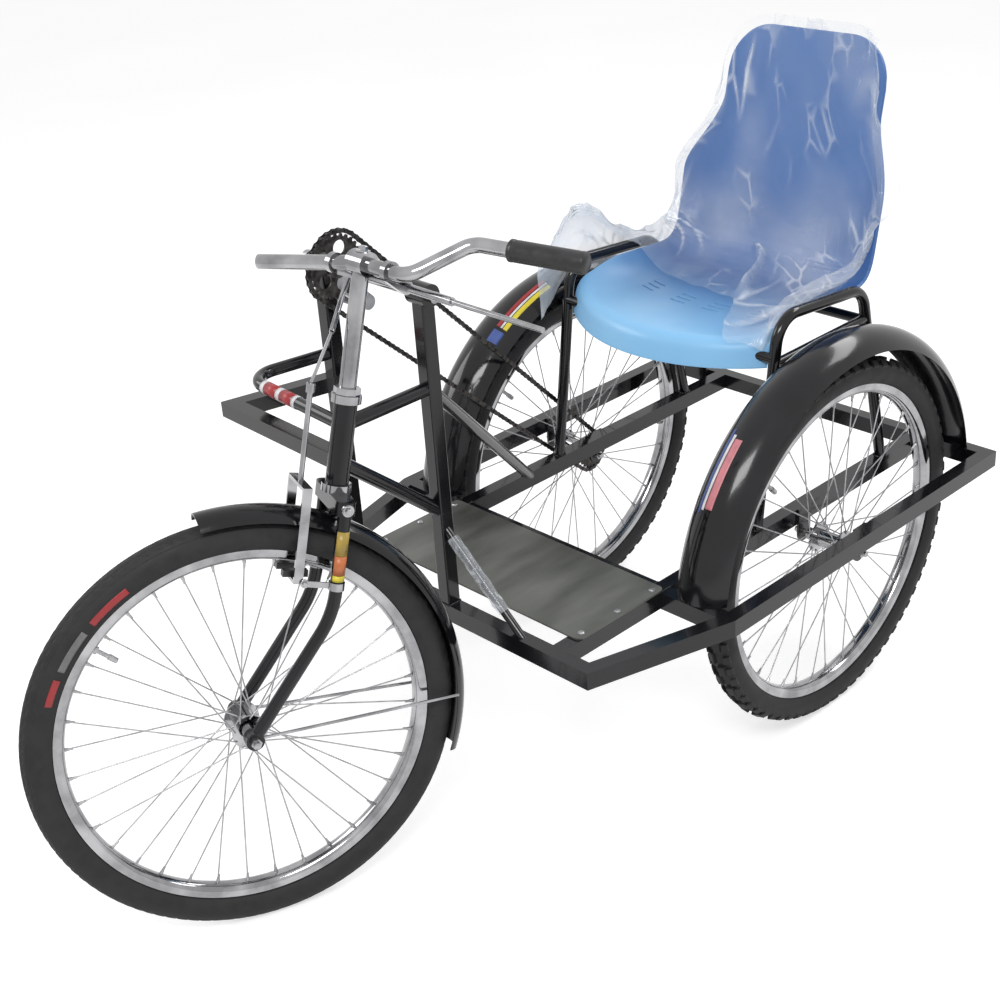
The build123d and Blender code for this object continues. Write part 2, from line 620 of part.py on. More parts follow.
bar_end = Vector(*BAR_END)
bar_run = (bar_end - Vector(*BAR_SHOULDER)).normalized()
grip_start = bar_end - bar_run * (GRIP_LENGTH - GRIP_CAP)
grip_plane = Plane(origin=grip_start, z_dir=bar_run)
nodes["grip"] = extrude(grip_plane * Circle(GRIP_R), amount=GRIP_LENGTH) - handlebar

lever_start = (LEVER_START_X, LEVER_Y, LEVER_Z)
lever_step = (LEVER_STEP_X, LEVER_Y, LEVER_Z)
turned_rod_top = Vertex(*tuple(rod_top)).rotate(HEAD_AXIS, STEER_DEG).center()
lever = rod(lever_start, lever_step, LEVER_R)
lever += rod(lever_step, (LEVER_END_X, LEVER_Y, LEVER_Z), LEVER_THIN_R)
lever += rod(lever_start, tuple(turned_rod_top), LEVER_THIN_R)
lever += Pos(*lever_start) * Sphere(LEVER_R)
nodes["brake_lever"] = lever - nodes["brake_rod"]
lugs = []
cut_reach = (CRANK_Z + STEM_LENGTH) * 2
for lug_x in LEVER_LUG_XS:
    cut = handlebar & Plane.YZ.offset(lug_x) * Rectangle(cut_reach, cut_reach)
    bar_at = cut.center()
    circles = Pos(bar_at.Y, bar_at.Z) * Circle(BAR_R + LEVER_LUG_WALL)
    circles += Pos(LEVER_Y, LEVER_Z) * Circle(LEVER_R + LEVER_LUG_WALL)
    lug = extrude(Plane.YZ.offset(lug_x) * make_hull(circles.edges()), amount=LEVER_LUG_T / 2, both=True)
    lugs.append(lug - handlebar - nodes["brake_lever"])
nodes["lever_lugs"] = Compound(children=lugs)

# Crank: axle across the posts, chainwheel inside the right post, arm and handle outside it
crank_at = Pos(0, FRONT_Y, CRANK_Z)
arm_inner_x = -INNER_X - BEARING_LENGTH / 2 - ARM_GAP
arm_outer_x = arm_inner_x - CRANK_ARM_T
axle_left_x = BEARING_LENGTH / 2 + ARM_GAP
nodes["crank_axle"] = rod((axle_left_x, FRONT_Y, CRANK_Z), (arm_outer_x, FRONT_Y, CRANK_Z), CRANK_AXLE_R)
ring, ring_root = toothed_disc(RING_TEETH, RING_R, RING_T)
window_mid_r = (RING_HUB_R + ring_root - RING_BAND) / 2
window_r = (ring_root - RING_BAND - RING_HUB_R) / 2
for k in range(RING_WINDOWS):
    window = extrude(Plane.YZ * Circle(window_r), amount=RING_T, both=True)
    ring -= (Pos(0, window_mid_r, 0) * window).rotate(Axis.X, 360.0 * k / RING_WINDOWS)
ring += Rot(0, 90, 0) * Cylinder(RING_HUB_R, RING_T * 4)
ring -= Rot(0, 90, 0) * Cylinder(CRANK_AXLE_R, RING_T * 8)
nodes["chainwheel"] = crank_at * Pos(RING_X, 0, 0) * ring

arm_outline = Pos(CRANK_ARM / 2, 0) * SlotCenterToCenter(CRANK_ARM, CRANK_ARM_W)
arm_outline -= Circle(CRANK_AXLE_R)
arm = extrude(Plane.YZ.offset(arm_outer_x) * arm_outline, amount=CRANK_ARM_T)
pin_length = HANDLE_LENGTH + HANDLE_GAP * 2
pin = rod((arm_outer_x, CRANK_ARM, 0), (arm_outer_x - pin_length, CRANK_ARM, 0), HANDLE_PIN_R)
cap_x = arm_outer_x - pin_length
arm += pin + rod((cap_x, CRANK_ARM, 0), (cap_x - HANDLE_CAP_T, CRANK_ARM, 0), HANDLE_CAP_R)
nodes["crank_arm"] = crank_at * arm.rotate(Axis.X, CRANK_ARM_DEG)
handle_section = make_face([
    Line((0, HANDLE_PIN_R + RUN_FIT), (HANDLE_LENGTH, HANDLE_PIN_R + RUN_FIT)),
    Line((HANDLE_LENGTH, HANDLE_PIN_R + RUN_FIT), (HANDLE_LENGTH, HANDLE_END_R)),
    ThreePointArc((HANDLE_LENGTH, HANDLE_END_R), (HANDLE_LENGTH / 2, HANDLE_R), (0, HANDLE_END_R)),
    Line((0, HANDLE_END_R), (0, HANDLE_PIN_R + RUN_FIT)),
])
handle_x = arm_outer_x - HANDLE_GAP - HANDLE_LENGTH
handle = Pos(handle_x, CRANK_ARM, 0) * around_axle(handle_section)
nodes["crank_handle"] = crank_at * handle.rotate(Axis.X, CRANK_ARM_DEG)

# Cog on the right hub, and the chain round both
cog, cog_root = toothed_disc(COG_TEETH, COG_R, RING_T)
cog -= Rot(0, 90, 0) * Cylinder(HUB_END_R, RING_T * 4)
nodes["cog"] = Pos(COG_X, 0, AXLE_Z) * cog

ring_centre = Vector(RING_X, FRONT_Y, CRANK_Z)
chain_run = Vector(COG_X, 0, AXLE_Z) - ring_centre
run_dir = chain_run.normalized()
chain_normal = Vector(1, 0, 0) - run_dir * run_dir.X
chain_plane = Plane(origin=ring_centre, x_dir=run_dir, z_dir=chain_normal)
chain_lean = math.asin((RING_R - COG_R) / chain_run.length)
chain_straight = chain_run.length * math.cos(chain_lean)
cog_wrap = math.pi - 2 * chain_lean
ring_wrap = math.pi + 2 * chain_lean
chain_length = chain_straight * 2 + COG_R * cog_wrap + RING_R * ring_wrap
link_pairs = round(chain_length / PITCH / 2)


def chain_loop(grow):
    """The closed outline of the chain, grown outwards from its pitch line."""
    near_r = RING_R + grow
    far_r = COG_R + grow
    span = chain_run.length
    lean = math.asin((near_r - far_r) / span)
    near_up = (near_r * math.sin(lean), near_r * math.cos(lean))
    far_up = (span + far_r * math.sin(lean), far_r * math.cos(lean))
    near_low = (near_up[0], -near_up[1])
    far_low = (far_up[0], -far_up[1])
    return make_face([
        Line(near_up, far_up),
        ThreePointArc(far_up, (span + far_r, 0), far_low),
        Line(far_low, near_low),
        ThreePointArc(near_low, (-near_r, 0), near_up),
    ])


def chain_place(along):
    """Where a point along the chain's pitch line lies and heads, from where it leaves the chainwheel."""
    up = math.pi / 2 - chain_lean
    if along < chain_straight:
        start = Pos(RING_R * math.cos(up), RING_R * math.sin(up))
        return start * Rot(0, 0, -math.degrees(chain_lean)) * Pos(along, 0)
    along -= chain_straight
    if along < COG_R * cog_wrap:
        angle = up - along / COG_R
        return Pos(chain_run.length, 0) * Rot(0, 0, math.degrees(angle) - 90) * Pos(0, COG_R)
    along -= COG_R * cog_wrap
    if along < chain_straight:
        start = Pos(chain_run.length + COG_R * math.cos(up), -COG_R * math.sin(up))
        return start * Rot(0, 0, 180 + math.degrees(chain_lean)) * Pos(along, 0)
    angle = -up - (along - chain_straight) / RING_R
    return Rot(0, 0, math.degrees(angle) - 90) * Pos(0, RING_R)


inner_band = chain_loop(CHAIN_INNER_H / 2) - chain_loop(-CHAIN_INNER_H / 2)
inner_links = extrude(inner_band, amount=CHAIN_INNER_W / 2, both=True)
outer_link = Box(PITCH + CHAIN_PLATE_END * 2, CHAIN_H, CHAIN_W)
outer_links = [chain_place(chain_length * (k + 0.5) / link_pairs) * outer_link for k in range(link_pairs)]
nodes["chain"] = chain_plane.location * inner_links.fuse(*outer_links)

# Armrests, seat frame and seat
pan_slope = (SEAT_REAR[1] - SEAT_FRONT[1]) / (SEAT_REAR[0] - SEAT_FRONT[0])


def pan_under(y):
    """Height of the seat pan's underside."""
    return SEAT_FRONT[1] + (y - SEAT_FRONT[0]) * pan_slope - SEAT_T / 2 * math.hypot(1, pan_slope)


def leg_y(foot_y, top, z):
    """Where an armrest leg is at a height."""
    return foot_y + (top[0] - foot_y) * (z - RAIL_TOP) / (top[1] - RAIL_TOP)


leg_ys = [leg_y(ARM_FRONT_FOOT_Y, ARM_FRONT_TOP, ARM_BAR_Z), leg_y(ARM_REAR_FOOT_Y, ARM_REAR_TOP, ARM_BAR_Z)]
arm_tubes = []
for name, side in (("left", 1), ("right", -1)):
    x = side * INNER_X
    foot_z = RAIL_TOP - ARM_TUBE_R
    points = [
        (x, leg_y(ARM_FRONT_FOOT_Y, ARM_FRONT_TOP, foot_z), foot_z),
        (x, *ARM_FRONT_TOP),
        (x, *ARM_REAR_TOP),
        (x, leg_y(ARM_REAR_FOOT_Y, ARM_REAR_TOP, foot_z), foot_z),
    ]
    tube = bent_rod(points, [ARM_BEND_R, ARM_BEND_R], ARM_TUBE_R)
    tube += rod((x, leg_ys[0], ARM_BAR_Z), (x, leg_ys[1], ARM_BAR_Z), ARM_BAR_R)
    nodes["armrest_" + name] = tube - nodes["rail_inner_" + name]
    arm_tubes.append(nodes["armrest_" + name])

seat_bars = []
for y in leg_ys:
    bar_z = pan_under(y) - SEAT_RAIL_T - SEAT_BAR_R - SEAT_GAP
    bar = rod((-INNER_X, y, bar_z), (INNER_X, y, bar_z), SEAT_BAR_R)
    seat_bars.append(bar - arm_tubes[0] - arm_tubes[1])
rail_side = make_face(Polyline(
    (leg_ys[0] - SEAT_BAR_R, pan_under(leg_ys[0] - SEAT_BAR_R) - SEAT_GAP),
    (leg_ys[1] + SEAT_BAR_R, pan_under(leg_ys[1] + SEAT_BAR_R) - SEAT_GAP),
    (leg_ys[1] + SEAT_BAR_R, pan_under(leg_ys[1] + SEAT_BAR_R) - SEAT_GAP - SEAT_RAIL_T),
    (leg_ys[0] - SEAT_BAR_R, pan_under(leg_ys[0] - SEAT_BAR_R) - SEAT_GAP - SEAT_RAIL_T),
    close=True))
seat_frame = seat_bars[0] + seat_bars[1]
for side in (1, -1):
    seat_frame += extrude(
        Plane.YZ.offset(side * SEAT_RAIL_X) * rail_side, amount=SEAT_RAIL_W / 2, both=True)
nodes["seat_frame"] = seat_frame

seat_path = FilletPolyline(
    (0, *SEAT_LIP), (0, *SEAT_FRONT), (0, *SEAT_REAR), (0, *SEAT_TOP), radius=[SEAT_LIP_R, SEAT_BACK_R])
seat_section_plane = Plane(origin=seat_path @ 0, x_dir=(-1, 0, 0), z_dir=seat_path % 0)
curl_reach = SEAT_HALF - SEAT_FLAT_HALF
curl_r = (curl_reach ** 2 + SEAT_RISE ** 2) / (2 * SEAT_RISE)
curl_angle = math.asin(curl_reach / curl_r)


def bucket_line(offset):
    """The bucket's cross line, flat in the middle and curled up at both sides."""
    radius = curl_r - offset
    points = []
    for angle in (0, curl_angle / 2, curl_angle):
        points.append((SEAT_FLAT_HALF + radius * math.sin(angle), curl_r - radius * math.cos(angle)))
    mirrored = [(-x, y) for x, y in reversed(points)]
    return [ThreePointArc(*mirrored), Line(mirrored[2], points[0]), ThreePointArc(*points)]


upper_line = bucket_line(SEAT_T / 2)
lower_line = bucket_line(-SEAT_T / 2)
bucket_section = make_face(upper_line + lower_line + [
    Line(upper_line[0] @ 0, lower_line[0] @ 0),
    Line(upper_line[2] @ 1, lower_line[2] @ 1),
])
seat = sweep(seat_section_plane * bucket_section, path=seat_path)
cut_half = SEAT_HALF + SEAT_TRIM
seat_back_y = SEAT_TOP[0] + SEAT_HALF
plan = make_face([
    ThreePointArc((-cut_half, SEAT_CORNER_Y), (0, SEAT_NOSE_Y), (cut_half, SEAT_CORNER_Y)),
    Line((cut_half, SEAT_CORNER_Y), (cut_half, seat_back_y)),
    Line((cut_half, seat_back_y), (-cut_half, seat_back_y)),
    Line((-cut_half, seat_back_y), (-cut_half, SEAT_CORNER_Y)),
])
face_low = SEAT_LIP[1] - SEAT_HALF
face_high = SEAT_TOP[1] - SEAT_TRIM
face_side = [
    (cut_half, face_low),
    (cut_half, SEAT_WAIST_Z),
    (SEAT_TOP_HALF, SEAT_SHOULDER_Z),
    (SEAT_TOP_HALF, face_high),
]
face = make_face(Polyline(*face_side, *[(-x, z) for x, z in reversed(face_side)], close=True))
corners_up = face.vertices().sort_by(Axis.Y)
face = fillet(corners_up[-2:], SEAT_TOP_CORNER_R)
face = fillet([v for v in face.vertices() if v.Y in (SEAT_WAIST_Z, SEAT_SHOULDER_Z)], SEAT_WAIST_R)
seat_block = extrude(plan, amount=SEAT_TOP[1] * 2)
seat_wall = extrude(Plane.XZ * face, amount=seat_back_y * 2, both=True)
nodes["seat_shell"] = seat & seat_block & seat_wall

# The origin is on the floor, at the middle of the outline in plan
whole = Compound(children=[copy.copy(shape) for shape in nodes.values()])
to_origin = Pos(0, -whole.bounding_box().center().Y, 0)

os.makedirs("parts", exist_ok=True)
for name, shape in nodes.items():
    export_step(to_origin * shape, "parts/" + name + ".step")
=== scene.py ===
import json
from math import asin, cos, exp, pi, radians, sin, sqrt, tan

import bmesh
import bpy
from mathutils import Matrix, Vector, noise


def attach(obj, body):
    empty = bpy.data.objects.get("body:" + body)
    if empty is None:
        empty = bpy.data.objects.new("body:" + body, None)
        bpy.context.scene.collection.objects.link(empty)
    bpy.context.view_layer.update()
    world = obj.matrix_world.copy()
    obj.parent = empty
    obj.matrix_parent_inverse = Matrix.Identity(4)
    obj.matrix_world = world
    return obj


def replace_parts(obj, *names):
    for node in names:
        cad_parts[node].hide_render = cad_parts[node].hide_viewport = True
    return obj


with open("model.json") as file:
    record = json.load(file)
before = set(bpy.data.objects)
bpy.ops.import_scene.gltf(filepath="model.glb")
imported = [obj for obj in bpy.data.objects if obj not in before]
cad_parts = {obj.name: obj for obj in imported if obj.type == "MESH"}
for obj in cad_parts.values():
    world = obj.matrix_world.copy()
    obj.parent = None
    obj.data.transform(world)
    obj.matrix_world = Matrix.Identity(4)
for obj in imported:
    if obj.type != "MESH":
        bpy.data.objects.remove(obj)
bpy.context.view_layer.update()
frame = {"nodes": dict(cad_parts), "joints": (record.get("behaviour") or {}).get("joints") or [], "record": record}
scene = bpy.context.scene
nodes = frame["nodes"]
joints = {joint["name"]: joint for joint in frame["joints"]}

RIGHT = Vector((1.0, 0.0, 0.0))
UP = Vector((0.0, 0.0, 1.0))

# Places that come with the frame: the rear axle line on the floor, the steered fork and the crank
REAR_AXLE = Vector(joints["wheel_left_spin"]["pos_m"])
DRAWN_ORIGIN = Vector((0.0, REAR_AXLE.y, 0.0))
CROWN = Vector(joints["steer"]["pos_m"])
HEAD_UP = Vector(joints["steer"]["axis"]).normalized()
FORK_SIDE = Vector(joints["front_wheel_spin"]["axis"]).normalized()
FORK_FORWARD = FORK_SIDE.cross(HEAD_UP)
CRANK = Vector(joints["crank_turn"]["pos_m"])

# Wheels, in metres
WHEEL_R = REAR_AXLE.z
TYRE_WIDTH = 0.048
TYRE_DEPTH = 0.052
TYRE_CENTRE_R = WHEEL_R - TYRE_DEPTH / 2
RIM_EDGE_R = 0.286
RIM_DEPTH = 0.020
RIM_WIDTH = 0.030
SPOKE_COUNT = 36
TREAD_SEGMENTS = 432
RING_SEGMENTS = 144
LUG_COUNT = 72
LUG_H = 0.006
LUG_SLOPE = 0.28
LUG_INNER_X = 0.0015

# Chain, in metres
PITCH = 0.0127
RING_TEETH = 28
COG_TEETH = 18
RING_X = -0.200
COG_X = -0.262
PLATE_R = 0.0040
PLATE_WAIST = 0.0029
PLATE_T = 0.0008
PLATE_END_DEG = 115
PLATE_END_POINTS = 7
OUTER_PLATE = 0.0029
INNER_PLATE = 0.0019
ROLLER_R = 0.0037
ROLLER_HALF = 0.0018
PIN_R = 0.0018
PIN_HALF = 0.0040

# Mudguards, in metres
GUARD_R = WHEEL_R + 0.053
GUARD_HALF = 0.050
GUARD_DROP = 0.032

# Floor frame and bars, in metres from the rear axle line
RAIL_TOP = 0.379
INNER_X = 0.233
FRONT_Y = -0.614
POST_W = 0.025
BOARD_TOP = 0.382
BAR_SHOULDER = (0.135, -0.628, 1.012)
BAR_END = (0.300, -0.580, 1.004)
GRIP_LENGTH = 0.118
GRIP_CAP = 0.005
GRIP_R = 0.016
BLADE_X = 0.050
BLADE_R = 0.010
CLAMP_UP = 0.336
CLAMP_R = 0.018

# Seat, in metres from the rear axle line
SEAT_THICK = 0.005
SEAT_HALF = 0.218
SEAT_FLAT_HALF = 0.135
SEAT_RISE = 0.036
SEAT_LIP = (-0.158, 0.655)
SEAT_FRONT = (-0.142, 0.700)
SEAT_REAR = (0.240, 0.680)
SEAT_TOP = (0.3353, 1.108)
SEAT_LIP_R = 0.026
SEAT_BACK_R = 0.095
SEAT_NOSE_R = 0.300
SEAT_WAIST_Z = 0.840
SEAT_SHOULDER_Z = 0.985
SEAT_TOP_HALF = 0.168
SEAT_TOP_CORNER = 0.085
SEAT_COLUMNS = 113
SEAT_ROWS = 193
BEND_POINTS = 9
RIM_BEVEL = 0.0012
RIM_BEVEL_DEG = 50.0

# The seat's sides curl up by a share at its nose, and fully from a share of its length on
NOSE_CURL = 0.25
FULL_CURL_AT = 0.22

# Camera of the photograph, from the rear axle line on the floor
CAMERA_AT = (1.7351, -2.0742, 1.7370)
CAMERA_AZIMUTH = 47.58
CAMERA_ELEVATION = 27.55
CAMERA_ROLL = -4.1
CAMERA_LENS = 58.73
SENSOR_WIDTH = 36.0

# Printed colours, in metres above what carries them
PRINT_LIFT = 0.0002
PRINT_T = 0.0003


# Materials

# The middle range of a noise, which is spread over a finish
NOISE_LOW = 0.35
NOISE_HIGH = 0.65
COAT_ROUGH = 0.05
PRINT_SHADE = 0.8
# Seat colour with painted light and shade: pale blue at the front of the pan, deep blue towards its rear and up
# the back, and the shares of the seat's length over which one turns into the other
SEAT_PAINTED_LIGHT = (0.235, 0.51, 0.80)
SEAT_PAINTED_SHADE = (0.055, 0.15, 0.39)
SEAT_SHADE_SPAN = (0.12, 0.85)

# Materials by name: a finish has the name of the slot that it is for
MATERIALS = {}


def new_material(name):
    """A material with one principled shader, and its node tree."""
    material = bpy.data.materials.new(name)
    MATERIALS[name] = material
    material.use_nodes = True
    tree = material.node_tree
    tree.nodes.clear()
    out = tree.nodes.new("ShaderNodeOutputMaterial")
    shader = tree.nodes.new("ShaderNodeBsdfPrincipled")
    tree.links.new(shader.outputs["BSDF"], out.inputs["Surface"])
    return material, tree, shader


def put(node, values):
    """Sets a node's own inputs, by name."""
    for name, value in values.items():
        node.inputs[name].default_value = value


def noise_factor(tree, grain, detail=4.0, stretch=(1.0, 1.0, 1.0)):
    """A noise over the object's own coordinates, with grain cells to the metre."""
    coords = tree.nodes.new("ShaderNodeTexCoord")
    mapping = tree.nodes.new("ShaderNodeMapping")
    put(mapping, {"Scale": stretch})
    texture = tree.nodes.new("ShaderNodeTexNoise")
    put(texture, {"Scale": grain, "Detail": detail})
    tree.links.new(coords.outputs["Object"], mapping.inputs["Vector"])
    tree.links.new(mapping.outputs["Vector"], texture.inputs["Vector"])
    return texture.outputs["Fac"]


def mapped(tree, value, low, high, start=0.0, stop=1.0):
    """The range of a value from start to stop, spread from low to high."""
    node = tree.nodes.new("ShaderNodeMapRange")
    put(node, {"From Min": start, "From Max": stop, "To Min": low, "To Max": high})
    tree.links.new(value, node.inputs["Value"])
    return node.outputs["Result"]


def colour_between(tree, factor, low, high, start=NOISE_LOW, stop=NOISE_HIGH):
    """A colour that goes from low to high with the factor."""
    node = tree.nodes.new("ShaderNodeValToRGB")
    node.color_ramp.elements[0].position = start
    node.color_ramp.elements[0].color = (*low, 1.0)
    node.color_ramp.elements[1].position = stop
    node.color_ramp.elements[1].color = (*high, 1.0)
    tree.links.new(factor, node.inputs["Fac"])
    return node.outputs["Color"]


def add_bump(tree, shader, height, distance):
    """Fine relief on the shader."""
    node = tree.nodes.new("ShaderNodeBump")
    put(node, {"Strength": 1.0, "Distance": distance})
    tree.links.new(height, node.inputs["Height"])
    tree.links.new(node.outputs["Normal"], shader.inputs["Normal"])


def surface(
        name, dark, light, grain, rough, metallic=0.0, relief=None, coat=0.0, stretch=(1.0, 1.0, 1.0),
        specular=0.5):
    """A finish with mottled colour, uneven roughness and, if given, relief as (grain, height)."""
    material, tree, shader = new_material(name)
    factor = noise_factor(tree, grain, stretch=stretch)
    tree.links.new(colour_between(tree, factor, dark, light), shader.inputs["Base Color"])
    tree.links.new(mapped(tree, factor, *rough, NOISE_LOW, NOISE_HIGH), shader.inputs["Roughness"])
    put(shader, {"Metallic": metallic, "Specular IOR Level": specular})
    if coat:
        put(shader, {"Coat Weight": coat, "Coat Roughness": COAT_ROUGH})
    if relief:
        add_bump(tree, shader, noise_factor(tree, relief[0]), relief[1])
    return material


def seat_material():
    """Moulded blue plastic with painted light and shade: paler at the front of the pan, and darker towards its
    rear and up the back.
    """
    material, tree, shader = new_material("seat_plastic")
    coords = tree.nodes.new("ShaderNodeTexCoord")
    split = tree.nodes.new("ShaderNodeSeparateXYZ")
    tree.links.new(coords.outputs["Object"], split.inputs["Vector"])
    front = DRAWN_ORIGIN.y + SEAT_LIP[0]
    rear = DRAWN_ORIGIN.y + SEAT_REAR[0]
    along = mapped(tree, split.outputs["Y"], 0.0, 1.0, front, rear)
    # Painted light and shade: pale at the pan's front, deepening towards the back
    colour = colour_between(tree, along, SEAT_PAINTED_LIGHT, SEAT_PAINTED_SHADE, *SEAT_SHADE_SPAN)
    tree.links.new(colour, shader.inputs["Base Color"])
    rough = mapped(tree, noise_factor(tree, 14.0), 0.30, 0.42, NOISE_LOW, NOISE_HIGH)
    tree.links.new(rough, shader.inputs["Roughness"])
    add_bump(tree, shader, noise_factor(tree, 700.0), 0.00012)
    return material


def film_material():
    """Clear polythene, milky where it is doubled or creased, with painted glints along its creases, by the sheet's
    own cover values.
    """
    material, tree, shader = new_material("polythene")
    put(shader, {"Roughness": 0.09, "IOR": 1.5})
    tone = colour_between(tree, noise_factor(tree, 18.0), (0.70, 0.76, 0.84), (0.86, 0.89, 0.93))
    tree.links.new(tone, shader.inputs["Base Color"])
    cover = tree.nodes.new("ShaderNodeAttribute")
    cover.attribute_name = "cover"
    tree.links.new(cover.outputs["Fac"], shader.inputs["Alpha"])
    add_bump(tree, shader, noise_factor(tree, 40.0, detail=6.0), 0.004)
    return material


def plain_colour(name, colour):
    """A printed or painted colour, a little uneven."""
    darker = tuple(value * PRINT_SHADE for value in colour)
    return surface(name, darker, colour, 60.0, (0.3, 0.42))


# Finish columns: name, dark and light colour, grain to the metre, least and most roughness
PAINT = surface(
    "black_paint", (0.003, 0.003, 0.004), (0.007, 0.007, 0.009), 9.0, (0.12, 0.22), coat=0.25,
    relief=(260.0, 0.00006), specular=0.28)
CHROME = surface("chrome", (0.25, 0.25, 0.26), (0.42, 0.42, 0.43), 22.0, (0.05, 0.14), metallic=1.0)
ZINC = surface("zinc_steel", (0.30, 0.30, 0.31), (0.46, 0.46, 0.47), 60.0, (0.28, 0.42), metallic=1.0)
DARK_STEEL = surface(
    "dark_steel", (0.018, 0.017, 0.016), (0.075, 0.07, 0.066), 90.0, (0.34, 0.5), metallic=0.9)
surface(
    "plate_steel", (0.085, 0.09, 0.08), (0.19, 0.195, 0.18), 13.0, (0.36, 0.56), metallic=0.6,
    relief=(420.0, 0.0001), stretch=(1.0, 0.25, 1.0))
TYRE = surface(
    "tyre_rubber", (0.015, 0.015, 0.016), (0.030, 0.030, 0.031), 40.0, (0.58, 0.78),
    relief=(500.0, 0.00015), specular=0.3)
RUBBER = surface(
    "grip_rubber", (0.010, 0.010, 0.011), (0.020, 0.020, 0.022), 70.0, (0.30, 0.45),
    relief=(600.0, 0.0001))
SEAT = seat_material()
FILM = film_material()
GOLD = plain_colour("stripe_gold", (0.42, 0.29, 0.05))
ORANGE = plain_colour("stripe_orange", (0.55, 0.16, 0.05))
YELLOW = plain_colour("stripe_yellow", (0.72, 0.60, 0.04))
RED = plain_colour("stripe_red", (0.36, 0.025, 0.03))
ROSE = plain_colour("stripe_rose", (0.60, 0.20, 0.23))
WHITE = plain_colour("stripe_white", (0.72, 0.72, 0.74))
BLUE = plain_colour("stripe_blue", (0.05, 0.09, 0.30))
GREY = plain_colour("stripe_grey", (0.17, 0.165, 0.165))


def dress_frame():
    """Every carried part gets the finish of its slot."""
    for row in frame["record"]["subparts"]:
        part = nodes[row["node"]]
        part.data.materials.clear()
        part.data.materials.append(MATERIALS[row["material_slot"]])
        for polygon in part.data.polygons:
            polygon.material_index = 0


# Mesh helpers

def spread(low, high, count):
    """Evenly spaced values from low to high."""
    return [low + (high - low) * k / (count - 1) for k in range(count)]


def add_mesh(name, verts, faces, material, place=Matrix.Identity(4), crease=40.0):
    """A shaded mesh object, its points carried by a matrix."""
    mesh = bpy.data.meshes.new(name)
    mesh.from_pydata([place @ Vector(v) for v in verts], [], faces)
    mesh.validate()
    edit = bmesh.new()
    edit.from_mesh(mesh)
    bmesh.ops.recalc_face_normals(edit, faces=edit.faces)
    edit.to_mesh(mesh)
    edit.free()
    mesh.materials.append(material)
    mesh.shade_smooth()
    mesh.set_sharp_from_angle(angle=radians(crease))
    part = bpy.data.objects.new(name, mesh)
    scene.collection.objects.link(part)
    return part


def thicken(piece, thickness, offset=1.0):
    """Gives a sheet of faces a thickness."""
    thick = piece.modifiers.new("thickness", "SOLIDIFY")
    thick.thickness = thickness
    thick.offset = offset
    return piece


def grid_faces(columns, rows):
    """Quads of an open grid that is stored column by column."""
    faces = []
    for c in range(columns - 1):
        for r in range(rows - 1):
            a = c * rows + r
            faces.append((a, a + rows, a + rows + 1, a + 1))
    return faces


def around(x, radius, angle):
    """A point about the X axis, by its angle from the top towards the front."""
    return Vector((x, -radius * sin(angle), radius * cos(angle)))


def turned(profile, segments, relief=None):
    """A closed profile of (x, radius) turned about X, lowered by relief(segment, profile index)."""
    count = len(profile)
    verts = []
    faces = []
    for i in range(segments):
        angle = 2 * pi * i / segments
        after = (i + 1) % segments * count
        for j, (x, radius) in enumerate(profile):
            verts.append(around(x, radius - (relief(i, j) if relief else 0.0), angle))
            k = (j + 1) % count
            faces.append((i * count + j, i * count + k, after + k, after + j))
    return verts, faces


def circle(centre, axis, radius, count):
    """Points of a circle about an axis."""
    across = axis.orthogonal().normalized()
    other = axis.cross(across)
    points = []
    for k in range(count):
        angle = 2 * pi * k / count
        points.append(centre + (across * cos(angle) + other * sin(angle)) * radius)
    return points


def tube_between(shape, start, end, start_r, end_r, sides):
    """Adds a closed round bar, which may taper, to a shape, which is a list of points and one of faces."""
    axis = (end - start).normalized()
    add_block(shape, [circle(start, axis, start_r, sides), circle(end, axis, end_r, sides)])


def add_block(shape, rings):
    """Adds a closed block made of rings with as many points each, from its foot to its top."""
    verts, faces = shape
    base = len(verts)
    count = len(rings[0])
    for ring in rings:
        verts.extend(ring)
    for level in range(len(rings) - 1):
        for k in range(count):
            a = base + level * count + k
            b = base + level * count + (k + 1) % count
            faces.append((a, b, b + count, a + count))
    faces.append(tuple(base + k for k in reversed(range(count))))
    top = base + (len(rings) - 1) * count
    faces.append(tuple(top + k for k in range(count)))


def add_stack(shape, at, direction, levels):
    """Adds round bars in line. Level columns: from and to along the direction, radius at each, sides."""
    for start, end, start_r, end_r, sides in levels:
        tube_between(shape, at + direction * start, at + direction * end, start_r, end_r, sides)


def add_bolt(shape, at, direction, radius):
    """Adds a washer, a hexagon head and the head's chamfer."""
    add_stack(shape, at, direction, (
        (-0.001, 0.0014, radius * 1.6, radius * 1.55, 20),
        (0.0013, radius, radius, radius, 6),
        (radius - 0.0002, radius + 0.0006, radius * 0.86, radius * 0.72, 18),
    ))


def along_axis(at, axis):
    """The matrix that carries a piece made at the origin, about X, to a place and an axis."""
    return Matrix.Translation(at) @ RIGHT.rotation_difference(axis).to_matrix().to_4x4()


def drawn(x, y, z):
    """A point given from the rear axle line on the floor."""
    return DRAWN_ORIGIN + Vector((x, y, z))


def steer_point(up, forward, side):
    """A point of the steered fork, from its crown."""
    return CROWN + HEAD_UP * up + FORK_FORWARD * forward + FORK_SIDE * side


# Wheels

def wheel_place(body):
    """The matrix that carries a wheel to where it stands."""
    joint = joints[body + "_spin"]
    return along_axis(joint["pos_m"], Vector(joint["axis"]))


FOOT_DEG = asin((RIM_EDGE_R - TYRE_CENTRE_R) / (TYRE_DEPTH / 2)) * 180 / pi


def on_tyre(degrees, lift=0.0):
    """A point (x, radius) of the tyre's section, by its angle from the side."""
    angle = radians(degrees)
    return (
        (TYRE_WIDTH / 2 + lift) * cos(angle),
        TYRE_CENTRE_R + (TYRE_DEPTH / 2 + lift) * sin(angle))


# Front tyre: points of its section, the first and last of its tread, and steps between grooves and sipes
TYRE_POINTS = 41
TREAD_FIRST = 13
TREAD_LAST = 27
GROOVE_STEP = 4
SIPE_STEP = 4
GROOVE_DEEP = 0.0020


